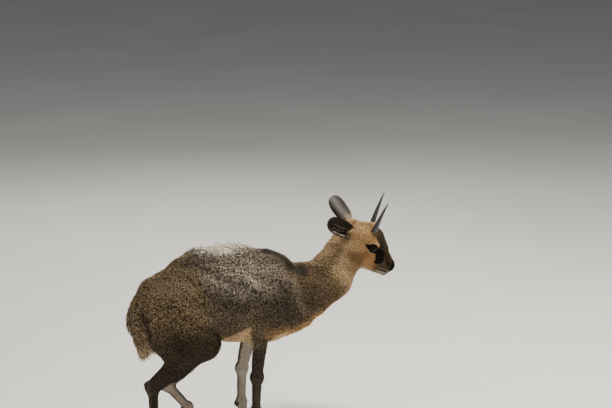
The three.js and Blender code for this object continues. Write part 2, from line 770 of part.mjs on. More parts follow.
function add(name, solid, stuff = coat) {
  const material = new THREE.MeshStandardMaterial({ metalness: 0, ...stuff });
  const mesh = new THREE.Mesh(geometryFrom(solid), material);
  mesh.name = name;
  animal.add(mesh);
}

const headAround = headMesh(-partGap, headCell);
add("torso", makeTorso());
add("neck", makeNeck());
add("head", makeHead());
for (const [name, side] of Object.entries(sides)) {
  const hard = (part, solid) => {
    const horny = part.startsWith("hoof") || part.startsWith("dewclaw");
    add(part, solid, horny ? hornStuff : coat);
  };
  makeHindLeg(name, hard);
  makeForeLeg(name, hard);
  add("eye_" + name, placed(eyeBall(side, 0), headTurn), eyeStuff);
  add("horn_" + name, placed(horn(side, 0), headTurn), hornStuff);
  add("ear_" + name, placed(ear(ears[name]).subtract(headAround), headTurn));
}
add("tail", makeTail());

export default group;
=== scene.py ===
# %% [markdown]
# # A life-size klipspringer buck
# The animal stands still, as in a museum, so nothing moves: one frame, one body called root. This
# lesson dresses the plain solids with one smooth skin, a coat of many small locks, and finer eyes,
# ears, horns and hooves. Lengths are in metres, except in the flesh forms, which are in millimetres.

# %% Load the frame
import math
import bpy
import numpy as np
from mathutils import Matrix, Vector
from mathutils.kdtree import KDTree


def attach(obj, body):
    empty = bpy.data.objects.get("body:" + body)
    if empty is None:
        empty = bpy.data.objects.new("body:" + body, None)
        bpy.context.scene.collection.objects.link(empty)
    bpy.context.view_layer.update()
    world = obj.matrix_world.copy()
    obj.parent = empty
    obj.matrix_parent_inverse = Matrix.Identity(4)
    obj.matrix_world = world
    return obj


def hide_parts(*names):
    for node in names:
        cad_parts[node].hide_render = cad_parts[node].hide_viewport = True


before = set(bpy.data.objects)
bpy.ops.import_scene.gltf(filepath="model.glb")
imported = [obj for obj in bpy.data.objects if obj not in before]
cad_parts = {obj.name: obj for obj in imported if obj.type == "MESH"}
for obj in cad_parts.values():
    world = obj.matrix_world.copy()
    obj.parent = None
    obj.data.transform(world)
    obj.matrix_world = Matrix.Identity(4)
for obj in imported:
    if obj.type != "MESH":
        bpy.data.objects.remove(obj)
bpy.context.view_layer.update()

# %% [markdown]
# ## The camera
# The picture was taken from a little above the back and a little behind square to the animal's right
# side. A long lens keeps the body's proportions, so the camera stands 6 m away. The aim point lies up
# and to the right of the body, because the animal fills the lower left of the picture.

# %% Camera
IMAGE_WIDTH = 612
PIXEL_FOCUS = 2280.0
DISTANCE = 6.0
ROUND, ABOVE = math.radians(12), math.radians(14)
UNDER_LOIN = Vector((-0.130, -0.0074, 0.0))
LOOK_HEIGHT = Vector((0, 0, 0.3))
AIM_ASIDE, AIM_UP = 91, 113.7
look = Vector((math.sin(ROUND) * math.cos(ABOVE), math.cos(ROUND) * math.cos(ABOVE), -math.sin(ABOVE)))
right = Vector((math.cos(ROUND), -math.sin(ROUND), 0))
aim = look + right * (AIM_ASIDE / PIXEL_FOCUS) + right.cross(look) * (AIM_UP / PIXEL_FOCUS)


def added(operator, **settings):
    """Adds an object with nothing else selected, and gives it back."""
    bpy.ops.object.select_all(action="DESELECT")
    operator(**settings)
    return bpy.context.object


camera = added(bpy.ops.object.camera_add, location=UNDER_LOIN + LOOK_HEIGHT - look * DISTANCE)
camera.name = "camera"
camera.rotation_euler = aim.to_track_quat("-Z", "Y").to_euler()
camera.data.lens = PIXEL_FOCUS / IMAGE_WIDTH * camera.data.sensor_width
bpy.context.scene.camera = camera
print("lens", round(camera.data.lens, 1))

# %% [markdown]
# ## The flesh as a field
# The skin has to be smooth, while the solids are made of large flat faces. Smoothing such a mesh
# shrinks the thin legs. Instead, each muscle and bone is a cone with round ends, the cones melt into
# one another, and the value of the sum says how far a point is outside the flesh. Later each point of
# the skin is moved to where that value is right. The sizes are those of the solids.

# %% The forms of trunk and neck
# A chain's balls are (x, z, half width). A form is (start, end, half width at each, flatness, melting reach).
MIDDLE = np.array([130.0, 7.4, 0.0])
SIDES = {"left": 1, "right": -1}
RUMP, PELVIS, LOIN = (-151, 298, 77), (-131, 338, 85), (-32, 367, 119)
RIBS, CHEST, BREAST = (46, 366, 127), (130, 351, 120), (192, 340, 92)
INNER_BREAST, NECK_BASE = (192, 340, 78), (246, 365, 69)
NECK_MIDDLE, NECK_TOP = (305, 403, 53), (351, 470, 49)
THROAT = [(268, 336, 40), (321, 382, 41), (361, 434, 33)]
FORE = {
    "right": {"elbow": (100, -50, 252), "carpus": (99, -47, 148), "fetlock": (96, -46, 56), "hoof": 100},
    "left": {"elbow": (92, 50, 252), "carpus": (79, 46, 150), "fetlock": (77, 45, 58), "hoof": 81},
}
HIND = {
    "right": {"knee": (-42, -60, 246), "hock": (-181, -54, 138), "fetlock": (-177, -50, 56), "hoof": -171},
    "left": {"knee": (-22, 60, 232), "hock": (-122, 56, 114), "fetlock": (-68, 52, 50), "hoof": -61},
}
HOOF_HEIGHT = 31.0


def spine(balls, flat, reach):
    """A chain of forms in the middle plane."""
    return [((a[0], 0, a[1]), (b[0], 0, b[1]), a[2], b[2], flat, reach) for a, b in zip(balls, balls[1:])]


def hind_leg(side, knee, hock, fetlock, hoof):
    calf = (hock[0] + 62, 54 * side, hock[2] + 68)
    heel = (hock[0] - 9, hock[1], hock[2] + 9)
    shin = (hock[0] * 0.55 + knee[0] * 0.45, knee[1], hock[2] * 0.55 + knee[2] * 0.45)
    return [
        ((-112, 34 * side, 345), knee, 76, 36, 0.64, 34),
        ((-182, 34 * side, 318), calf, 40, 24, 0.8, 34),
        (knee, shin, 37, 27, 0.62, 18),
        (shin, hock, 28, 17, 0.7, 16),
        (calf, heel, 12, 7.5, 1, 16),
        (heel, hock, 10, 12, 1, 8),
        (hock, fetlock, 14.5, 11.5, 0.92, 12),
        (fetlock, fetlock, 14, 14, 0.95, 8),
        (fetlock, (hoof, fetlock[1], HOOF_HEIGHT), 12.5, 11.5, 1.15, 8),
    ]


def fore_leg(side, elbow, carpus, fetlock, hoof):
    shoulder = (178, 44 * side, 318)
    return [
        ((128, 40 * side, 420), shoulder, 46, 40, 0.62, 22),
        (shoulder, elbow, 38, 22, 0.66, 16),
        ((elbow[0] + 6, elbow[1], elbow[2] - 20), carpus, 20.5, 15, 0.9, 14),
        (carpus, carpus, 16.5, 16.5, 0.92, 10),
        (carpus, fetlock, 13.5, 11.5, 0.92, 10),
        (fetlock, fetlock, 14, 14, 0.95, 8),
        (fetlock, (hoof, fetlock[1], HOOF_HEIGHT), 12.5, 11.5, 1.15, 8),
    ]


BODY_FORMS = spine([RUMP, PELVIS, LOIN, RIBS, CHEST, BREAST], 0.72, 14)
BODY_FORMS += spine([INNER_BREAST, NECK_BASE, NECK_MIDDLE, NECK_TOP], 0.8, 18)
BODY_FORMS += spine(THROAT, 0.8, 18)
for name, side in SIDES.items():
    BODY_FORMS += hind_leg(side, **HIND[name]) + fore_leg(side, **FORE[name])
TAIL_ROOT, TAIL_TIP = (-212, 0, 304), (-198, 0, 232)
BODY_FORMS.append((TAIL_ROOT, TAIL_TIP, 18, 13, 1.2, 8))
print("forms of the body", len(BODY_FORMS))

# %% [markdown]
# ### The head
# The head has its own frame, with x from the nape to the nose tip and z through the crown. It hangs
# 35 degrees nose down and rolls 16 degrees, as the buck in the picture tilts it. The head's field is folded
# on its middle plane, so each form off that plane stands on both sides of it.

# %% The forms of the head
HEAD_PLACE = np.array([347.0, 0.0, 517.0])
turn = Matrix.Rotation(math.radians(1.5), 3, "Z") @ Matrix.Rotation(math.radians(35), 3, "Y")
HEAD_TURN = np.array(turn @ Matrix.Rotation(math.radians(16), 3, "X"))
EYE = np.array([80.0, 26.5, 12.0])
EYE_RADIUS = 15.5
HEAD_FORMS = [
    ((22, 0, 8), (58, 0, 13), 38, 41, 0.86, 1),
    ((62, 0, 20), (156, 0, -6), 40, 16, 0.72, 10),
    ((70, 0, -31), (162, 0, -34), 36, 11.5, 0.66, 12),
    ((163, 0, -10), (165, 0, -14), 14, 13.5, 0.95, 8),
    ((72, 0, 42), (60, 0, 44), 13, 14, 1.2, 12),
    ((84, 0, 38), (116, 0, 20.5), 18.5, 13.5, 0.95, 10),
    ((85, 22, 10), (74, 21, 13), 17, 18, 1, 10),
    ((88, 25, 26), (66, 30, 28), 6, 9, 1, 9),
    ((100, 15, -12), (48, 23, -16), 14, 20, 1, 14),
    ((65, 19.5, 34), (62, 20.5, 49), 13, 9.5, 1, 10),
    ((14, 20, 12), (8, 27, 17), 14, 8, 1, 12),
]
NECK_FILLET = 26


def melt(a, b, reach):
    """The lower of two fields, with a round fillet where they meet."""
    near = np.maximum(reach - np.abs(a - b), 0) / reach
    return np.minimum(a, b) - near * near * reach / 4


def cone_distance(p, a, b, wide_a, wide_b, flat=1):
    """How far points are outside a cone with round ends. Flat scales its sideways width."""
    start = np.array(a, float)
    squash = np.array([1, 1 / flat, 1])
    way = (np.array(b, float) - start) * squash
    q = (p - start) * squash
    t = np.clip(q @ way / max(way @ way, 1e-9), 0, 1)
    away = np.linalg.norm(q - t[:, None] * way, axis=1)
    return (away - wide_a - t * (wide_b - wide_a)) * math.sqrt(flat)


def flow(p, forms):
    value = cone_distance(p, *forms[0][:5])
    for form in forms[1:]:
        value = melt(value, cone_distance(p, *form[:5]), form[5])
    return value


def to_head(p):
    return (p - HEAD_PLACE) @ HEAD_TURN


def to_body(q):
    return q @ HEAD_TURN.T + HEAD_PLACE


def flesh(p):
    """How far points (body frame, millimetres) are outside the flesh."""
    q = to_head(p)
    q[:, 1] = np.abs(q[:, 1])
    return melt(flow(p, BODY_FORMS), flow(q, HEAD_FORMS), NECK_FILLET)


def slope(p, field, probe=0.05):
    """The field's value at points, and the way that it rises there."""
    value = field(p)
    rise = np.stack([(field(p + probe * axis) - value) / probe for axis in np.eye(3)], 1)
    return value, rise


print("flesh at the loin's centre", flesh(np.array([[LOIN[0], 0.0, LOIN[1]]])).round(1))

# %% [markdown]
# ## How the coat lies
# Hair has a direction everywhere: back over the trunk, down over the haunch and legs, and up from the
# nose to the crown. It is long and brittle on the body and very short on the face. A few named places
# hold the way, the length and the lift of the hair, and every point of the skin takes a mean of them
# that favours the nearest. Painting a mask by hand would also do, but can't be read back as numbers.

# %% Named places of the coat
# name: (x, y, z), way, length and lift (share of the length that the tips stand off), in millimetres
PAIRED = {
    "withers": ((165, 18, 462), (-1, 0.1, -0.15), 15, 0.30),
    "back": ((60, 14, 490), (-1, 0.05, -0.05), 16, 0.34),
    "ruffled loin": ((30, 26, 484), (-0.9, 0.2, -0.2), 19, 0.44),
    "hip": ((-52, 22, 470), (-0.9, 0.15, -0.35), 15, 0.26),
    "croup": ((-100, 22, 440), (-0.85, 0.15, -0.5), 15, 0.28),
    "rump": ((-190, 24, 372), (-0.5, 0.15, -0.85), 15, 0.32),
    "seat": ((-222, 24, 300), (-0.1, 0.1, -1), 14, 0.32),
    "haunch": ((-120, 70, 330), (-0.5, 0.1, -0.86), 14, 0.30),
    "thigh": ((-70, 84, 276), (-0.35, 0, -0.94), 13, 0.28),
    "back of thigh": ((-165, 50, 240), (-0.1, 0, -1), 13, 0.30),
    "tail root": ((-222, 10, 306), (-0.25, 0.15, -1), 22, 0.30),
    "tail": ((-220, 14, 262), (-0.05, 0.25, -1), 30, 0.34),
    "tail tip": ((-200, 8, 222), (0.25, 0.2, -1), 32, 0.30),
    "flank": ((-10, 78, 330), (-0.7, 0.1, -0.72), 16, 0.34),
    "ribs": ((70, 92, 370), (-0.6, 0.05, -0.8), 16, 0.34),
    "upper ribs": ((40, 60, 450), (-0.8, 0.2, -0.55), 17, 0.36),
    "lower ribs": ((60, 66, 280), (-0.85, 0, -0.5), 13, 0.28),
    "belly": ((20, 14, 242), (-1, 0, -0.1), 11, 0.22),
    "groin": ((-60, 20, 240), (-0.8, 0, -0.5), 9, 0.2),
    "shoulder": ((150, 84, 350), (-0.4, 0.05, -0.92), 14, 0.30),
    "upper arm": ((120, 66, 276), (-0.25, 0, -0.97), 11, 0.26),
    "breast": ((262, 16, 300), (-0.45, 0.05, -0.9), 13, 0.28),
    "under breast": ((170, 16, 250), (-0.9, 0, -0.4), 11, 0.24),
    "neck root": ((236, 50, 392), (-0.75, 0.1, -0.66), 14, 0.30),
    "neck side": ((304, 42, 412), (-0.66, 0.05, -0.75), 12, 0.28),
    "mane line": ((262, 8, 440), (-0.9, 0.1, -0.4), 15, 0.36),
    "nape": ((318, 8, 500), (-0.7, 0.1, -0.7), 13, 0.36),
    "throat": ((352, 12, 396), (-0.5, 0, -0.85), 11, 0.24),
}
HEAD_PLACES = {
    "nose bridge": ((140, 4, 12), (-1, 0.05, 0.1), 2.6, 0.14),
    "muzzle": ((146, 12, -12), (-1, 0.15, -0.1), 2.4, 0.14),
    "chin": ((146, 4, -38), (-0.95, 0.05, -0.2), 4.5, 0.22),
    "forehead": ((96, 8, 40), (-0.85, 0.1, 0.5), 5, 0.22),
    "crown": ((50, 8, 54), (-1, 0.1, 0.1), 9, 0.4),
    "poll": ((22, 8, 44), (-0.95, 0.1, -0.3), 10, 0.34),
    "brow": ((84, 36, 30), (-0.9, 0.2, 0.3), 3.6, 0.18),
    "under eye": ((96, 32, -8), (-0.9, 0.2, -0.4), 3.0, 0.15),
    "cheek": ((58, 38, -12), (-0.8, 0.15, -0.6), 6.5, 0.22),
    "jaw": ((96, 14, -50), (-0.9, 0.1, -0.4), 6, 0.22),
    "jaw corner": ((40, 28, -44), (-0.75, 0.1, -0.65), 9, 0.26),
    "ear root": ((12, 34, 22), (-0.6, 0.75, 0.1), 8, 0.3),
}

BATCH = 20000
BLUR, FALL = 60, 2.2
LEG_LIFT = 0.2
PASTERN_HAIR = 5


def unit(v):
    return v / np.maximum(np.linalg.norm(v, axis=-1, keepdims=True), 1e-9)


def leg_places(forms, shins):
    """Places down one leg, from a list of (joint above, joint below, length)."""
    rows = []
    for above, below, long in shins:
        a, b = np.array(forms[above], float), np.array(forms[below], float)
        rows += [(a * (1 - t) + b * t, b - a, long, LEG_LIFT) for t in (0.25, 0.6, 0.95)]
    return rows


places = []
for name, side in SIDES.items():
    mirror = np.array([1, side, 1])
    for place, way, long, lift in PAIRED.values():
        places.append((place * mirror, way * mirror, long, lift))
    for place, way, long, lift in HEAD_PLACES.values():
        places.append((to_body(place * mirror), (way * mirror) @ HEAD_TURN.T, long, lift))
    places += leg_places(HIND[name], [("knee", "hock", 9), ("hock", "fetlock", 6)])
    places += leg_places(FORE[name], [("elbow", "carpus", 7), ("carpus", "fetlock", 5.5)])
    for foot in (HIND[name], FORE[name]):
        places.append(((foot["hoof"], foot["fetlock"][1], 40), (0, 0, -1), PASTERN_HAIR, LEG_LIFT))
PLACE_AT, PLACE_WAY, PLACE_LONG, PLACE_LIFT = (np.array(column, float) for column in zip(*places))
PLACE_WAY = unit(PLACE_WAY)


def coat_at(p):
    """Way, length and lift of the hair at points: a mean that favours the nearest places."""
    ways, longs, lifts = np.empty_like(p), np.empty(len(p)), np.empty(len(p))
    for start in range(0, len(p), BATCH):
        part = slice(start, start + BATCH)
        away = ((p[part, None, :] - PLACE_AT) ** 2).sum(2) + BLUR
        near = away**-FALL
        near /= near.sum(1, keepdims=True)
        ways[part], longs[part], lifts[part] = near @ PLACE_WAY, near @ PLACE_LONG, near @ PLACE_LIFT
    return ways, longs, lifts


print("places of the coat", len(places))

# %% [markdown]
# ## One skin
# The real animal has no seams, so one mesh stands for all the pieces of flesh. Copies of the solids
# are swollen by half a millimetre to close the thin cuts between them, joined, and remeshed by small
# cubes. The head's faces are then divided, because its folds are finer than the body's.

# %% Join and remesh
FLESH = ["torso", "neck", "head"]
for name in SIDES:
    for part in ("shoulder", "forearm", "fore_cannon", "thigh", "hind_shank", "hind_cannon"):
        FLESH.append(part + "_" + name)
VOXEL = 0.0032
SWELL = 0.0005
TAIL_CORE = {"location": (-0.334, -0.0074, 0.268), "rotation": (0, -0.2, 0), "scale": (0.015, 0.018, 0.048)}


def active(piece):
    bpy.ops.object.select_all(action="DESELECT")
    piece.select_set(True)
    bpy.context.view_layer.objects.active = piece


def applied(piece, kind, **settings):
    """Adds a modifier, sets it and applies it."""
    active(piece)
    modifier = piece.modifiers.new(kind.lower(), kind)
    for key, value in settings.items():
        setattr(modifier, key, value)
    bpy.ops.object.modifier_apply(modifier=modifier.name)


def copied(node):
    """A copy of a solid's mesh with its loose corners merged."""
    piece = bpy.data.objects.new("copy_of_" + node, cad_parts[node].data.copy())
    bpy.context.scene.collection.objects.link(piece)
    active(piece)
    bpy.ops.object.mode_set(mode="EDIT")
    bpy.ops.mesh.select_all(action="SELECT")
    bpy.ops.mesh.remove_doubles(threshold=1e-5)
    bpy.ops.object.mode_set(mode="OBJECT")
    return piece


def read(items, field, kind=float):
    """Three numbers for each of a mesh's items, as rows."""
    flat = np.empty(len(items) * 3, kind)
    items.foreach_get(field, flat)
    return flat.reshape(-1, 3)


def points_of(piece):
    return read(piece.data.vertices, "co")


def set_points(piece, points):
    piece.data.vertices.foreach_set("co", points.ravel())
    piece.data.update()


def smoothed(mesh):
    mesh.polygons.foreach_set("use_smooth", np.ones(len(mesh.polygons), bool))


copies = [copied(node) for node in FLESH + ["eye_left", "eye_right"]]
copies.append(added(bpy.ops.mesh.primitive_uv_sphere_add, segments=32, ring_count=20, radius=1, **TAIL_CORE))
bpy.ops.object.select_all(action="DESELECT")
for piece in copies:
    piece.select_set(True)
bpy.context.view_layer.objects.active = copies[0]
bpy.ops.object.join()
skin = bpy.context.object
skin.name = skin.data.name = "skin"
applied(skin, "DISPLACE", strength=SWELL, mid_level=0.0)
applied(skin, "REMESH", mode="VOXEL", voxel_size=VOXEL)
print("skin after remeshing", len(skin.data.polygons))

# %% [markdown]
# ### Finer faces
# Lids, lips and nostrils are far finer than a thigh. Smaller cubes everywhere would make the skin too
# heavy, so the faces of the head are divided once, and those near the eyes and the mouth once more.

# %% Finer faces on the head, finest round the eyes and mouth
HEAD_PLANE = (np.array([357.0, 0.0, 453.0]), np.array([0.85, 0.0, 0.526]))
OUT = unit(np.array([0.28, 0.94, 0.16]))
ALONG = np.array([0.95, -0.2, -0.05])
ALONG = unit(ALONG - OUT * (ALONG @ OUT))
OVER = np.cross(ALONG, OUT)
EYE_REACH = 24


def body_frame(points):
    return points * 1000 + MIDDLE


def row_frame(p):
    return (p - MIDDLE) / 1000


def past(p, plane, shift=0.0):
    return (p - plane[0]) @ plane[1] > shift


def folded(p):
    """Points in the head's frame, with the right side laid on the left."""
    q = to_head(p)
    q[:, 1] = np.abs(q[:, 1])
    return q


def edit_faces(piece, chosen):
    """Goes into edit mode with only some faces selected."""
    bpy.context.tool_settings.mesh_select_mode = (False, False, True)
    bpy.ops.object.mode_set(mode="EDIT")
    bpy.ops.mesh.select_all(action="DESELECT")
    bpy.ops.object.mode_set(mode="OBJECT")
    piece.data.polygons.foreach_set("select", chosen)
    bpy.ops.object.mode_set(mode="EDIT")


def divide(piece, test):
    """Divides the faces whose middles (body frame) pass the test."""
    active(piece)
    edit_faces(piece, test(body_frame(read(piece.data.polygons, "center"))))
    bpy.ops.mesh.subdivide(number_cuts=1)
    bpy.ops.object.mode_set(mode="OBJECT")


def near_eye(p):
    return np.linalg.norm(folded(p) - EYE, axis=1) < EYE_REACH


def near_mouth(p):
    q = folded(p)
    return past(p, HEAD_PLANE) & (q[:, 0] > 122) & (q[:, 2] > -44) & (q[:, 2] < 14)


divide(skin, lambda p: past(p, HEAD_PLANE, -12))
divide(skin, lambda p: near_eye(p) | near_mouth(p))
print("skin after dividing", len(skin.data.polygons))

# %% [markdown]
# ### Folds, mouth and lids
# The skin is now moved onto the smooth flesh. It lies below it by the coat's depth, so that the tips of
# the hair reach the outline of the solids. On the head the level also dips at the line of the mouth,
# the nostrils and the scent gland in front of each eye. Round the eye the skin rises over the ball as
# two lids, and inside the almond between them it is drawn back behind the ball.

# %% Folds of the head
GLAND = (122, 17.5, -5)
NOSTRIL_FRONT, NOSTRIL_TOP, NOSTRIL_BACK = (176, 4.5, -9), (172, 9.0, -4), (165, 10.5, -3.5)


def ramp(value, low, high):
    """A soft step from 0 to 1."""
    t = np.clip((value - low) / (high - low), 0, 1)
    return t * t * (3 - 2 * t)


def bell(distance, width):
    return np.exp(-((distance / width) ** 2))


def mouth_line(q):
    """Height of a point above the line between the lips, and how far forward it is, from 0 to 1."""
    return q[:, 2] + 26.5 + 0.22 * (169 - q[:, 0]), np.clip((q[:, 0] - 135) / 9, 0, 1)


def folds(p):
    """Small forms of the head: the height above the flesh, in millimetres."""
    q = folded(p)
    x, y, z = q.T
    above, ahead = mouth_line(q)
    nostril = melt(
        cone_distance(q, NOSTRIL_FRONT, NOSTRIL_TOP, 0.9, 1.4),
        cone_distance(q, NOSTRIL_TOP, NOSTRIL_BACK, 1.4, 0.5),
        1.0,
    )
    gland = np.linalg.norm((q - GLAND) * [0.8, 1, 1.2], axis=1)
    lips = 0.7 * (bell(above - 2.6, 1.7) + bell(above + 2.8, 1.8)) * ahead
    height = lips - 2.2 * bell(above, 1.1) * ahead
    height -= 3.6 * np.clip(1 - nostril / 1.4, 0, 1) ** 2 * (x > 158)
    height += 0.9 * bell(nostril - 2.4, 1.2) * (x > 158)
    height -= 0.7 * bell(y, 0.8) * (x > 166) * (z > -22)
    height += 1.0 * bell(gland - 6.5, 3.0) - 1.8 * bell(gland, 3.2)
    height -= 0.8 * bell(cone_distance(q, (150, 12, 6), (128, 17, 10), 1, 1), 3)
    return height * past(p, HEAD_PLANE)


print("fold between the lips, in millimetres", folds(to_body(np.array([[169, 5, -26.5]]))).round(1))

# %% The level of the skin
LID_LONG, LID_TALL = 1.75, 0.98
LID_THICK, LID_REACH, SOCKET_DEPTH = 1.5, 7, 3
THINNEST, DEEPEST = 0.6, 7.5


def eye_polar(p):
    """Distance from the ball's centre, and how far outside the almond between the lids a point is."""
    v = folded(p) - EYE
    r = np.linalg.norm(v, axis=1)
    ahead = np.maximum(v @ OUT / np.maximum(r, 1e-6), 0.05)
    a, b = v @ ALONG / r / ahead, v @ OVER / r / ahead
    tall = np.where(b > 0, LID_TALL, LID_TALL * 0.82)
    almond = ((np.abs(a) / LID_LONG) ** 1.6 + (np.abs(b) / tall) ** 1.6) ** (1 / 1.6)
    return r, (almond - 1) * EYE_RADIUS * 0.8, ahead > 0.3, b


def coat_depth(p):
    """How far below the outline the skin lies: as deep as the hair stands up."""
    _, long, lift = coat_at(p)
    return np.clip(long * (0.12 + 0.62 * lift), THINNEST, DEEPEST)


def face(p):
    """The flesh with the eyeballs, and the lids' thickness over them, melted in."""
    ball = np.linalg.norm(folded(p) - EYE, axis=1) - EYE_RADIUS - 1.3
    return melt(flesh(p), ball, 5)


def settled(p, level, rounds=5):
    """Points moved up or down the slope of the field until they lie at their level."""
    p = p.copy()
    for _ in range(rounds):
        value, rise = slope(p, face)
        steep = np.maximum((rise**2).sum(1), 0.25)
        p -= np.clip((value - level(p)) / steep, -3, 3)[:, None] * rise
    return p


def with_lids(p):
    """Skin raised over the ball as two lids, and drawn back behind the ball between them."""
    r, outside, front, over = eye_polar(p)
    shell = EYE_RADIUS + LID_THICK
    shell = shell - 0.7 * bell(outside - 5.0, 1.1) * (over > 0) - 0.4 * bell(outside - 4.2, 1.0)
    rim = ramp(outside, -0.9, 0.5)
    behind = EYE_RADIUS - SOCKET_DEPTH
    near_ball = np.maximum(r, shell * (outside < LID_REACH))
    wanted = np.where(rim >= 1, near_ball, behind * (1 - rim) + shell * rim)
    socket = front & (r < EYE_RADIUS + 8) & (outside < LID_REACH)
    q = EYE + (folded(p) - EYE) * (wanted / np.maximum(r, 1e-6))[:, None]
    q[:, 1] *= np.where(to_head(p)[:, 1] < 0, -1, 1)
    return np.where(socket[:, None], to_body(q), p)


p = body_frame(points_of(skin))
depth = coat_depth(p)
set_points(skin, row_frame(settled(p, lambda q: -depth)))
applied(skin, "SMOOTH", factor=0.5, iterations=4)
p = body_frame(points_of(skin))
depth = coat_depth(p)
p = with_lids(settled(p, lambda q: folds(q) - depth, 4))
set_points(skin, row_frame(p))
smoothed(skin.data)
for node in [*FLESH, "tail"]:
    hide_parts(node)
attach(skin, "root")
print("skin", len(skin.data.vertices), [round(v, 3) for v in (*p.min(0), *p.max(0))])

# %% [markdown]
# ## Markings and painted light
# Skin and hair carry the same markings, so that a gap in the coat never shows a wrong colour. Each mask
# is a soft patch or slope with a name and a place on the body: golden haunch and neck, greyer barrel,
# silvery ruffled loin, pale belly, throat and inner legs, dark crease at the withers, dark brow and nose.
# Some masks are partly the coat's own tones and partly painted light: painted shade on the middle of the
# flank, the shoulder, the base of the neck, the lower haunch and the outer legs, and painted light that
# makes the upper barrel and the top of the neck paler, as if lit from above.

# %% Places of the markings
# Places are on the left side. A stripe is (start, end, half width), a patch is (middle, size).
BELLY_X = [-80, 0, 20, 84, 110, 155, 225, 262]
BELLY_Z = [228, 250, 264, 298, 284, 268, 270, 282]
LOIN_SILVER = ((25, 16, 492), (66, 36, 22))
BACK_SILVER = ((96, 10, 490), (40, 22, 12))
# The barrel patch makes the upper side of the ribs paler: partly the coat's greyer tone, partly painted
# light.
GREY_AND_LIT_BARREL = ((70, 84, 436), (100, 60, 50))
WITHERS = [((152, 10, 472), (202, 28, 446), 23), ((200, 24, 448), (231, 30, 428), 19)]
DARK_STRIPES = [
    (0.70, (-70, 30, 452), (-30, 16, 486), 17),
    (0.92, (-198, 58, 350), (-180, 64, 262), 9),
    (0.92, (-180, 64, 262), (-176, 40, 236), 8),
]
# Dark patches on the middle of the flank, the shoulder and the base of the neck: partly the coat's tone,
# partly painted shade.
DARK_AND_SHADED_PATCHES = [
    (0.56, (56, 90, 376), (90, 70, 38)),
    (0.58, (162, 84, 346), (66, 70, 66)),
    (0.58, (255, 40, 364), (60, 60, 46)),
]
DARK_JOINTS = []
for name in SIDES:
    DARK_JOINTS.append((0.5, np.array(HIND[name]["hock"]) + [6, 0, 4], 24))
    DARK_JOINTS += [(0.6, np.array(foot["fetlock"]), 22) for foot in (HIND[name], FORE[name])]
BLACK_SKIN = [
    ((115, 20, 3), (124, 15, -10), 12, 13),
    ((98, 27, 13), (117, 19, 6), 9.5, 12),
    ((82, 38, 13.5), (62, 38.5, 12.5), 10, 2.5),
]
NOSE, NOSE_SIZE = np.array([172, 0, -4]), np.array([16, 15, 21])


def most(*masks):
    """The strongest of some masks at each point."""
    return np.max(masks, 0)


def mirrored(p):
    """Points of the body with the right side laid on the left."""
    return np.abs(p * [0, 1, 0]) + p * [1, 0, 1]


def patch(p, at, size):
    return np.exp(-(np.linalg.norm((mirrored(p) - at) / size, axis=1) ** 3))


def stripe(p, a, b, wide):
    return bell(np.maximum(cone_distance(mirrored(p), a, b, 1, 1), 0), wide)


def spot(q, at, wide):
    return bell(np.linalg.norm(q - at, axis=1), wide)


print("dark stripes and patches", len(DARK_STRIPES) + len(DARK_AND_SHADED_PATCHES) + len(DARK_JOINTS))

# %% Masks of the body
def leg_inside(p):
    """1 on the sides of the legs that face each other, 0 outside."""
    inside = np.zeros(len(p))
    for name, side in SIDES.items():
        for foot in (HIND[name], FORE[name]):
            near = np.abs(p[:, 0] - foot["hoof"] * 0.5 - foot["fetlock"][0] * 0.5) < 120
            here = ramp(side * (foot["fetlock"][1] - p[:, 1]), 1, 9) * (p[:, 1] * side > 0) * near
            inside = np.maximum(inside, here * ramp(-p[:, 2], -262, -236))
    return inside


def bare(p):
    """Skin with no hair: nose pad, scent gland, line of the mouth and rims of the lids."""
    q = folded(p)
    above, ahead = mouth_line(q)
    r, outside, front, _ = eye_polar(p)
    black = [1 - ramp(cone_distance(q, *form), 0, 2) for form in BLACK_SKIN]
    nose = 1 - ramp(np.linalg.norm((q - NOSE) / NOSE_SIZE, axis=1), 0.88, 1.06)
    rims = (1 - ramp(outside, 2.4, 3.8)) * front * (r < EYE_RADIUS + 6)
    lips = 0.9 * bell(above, 2.4) * ahead * (q[:, 0] < 185)
    return np.clip(most(*black, nose, rims, lips), 0, 1) * past(p, HEAD_PLANE)


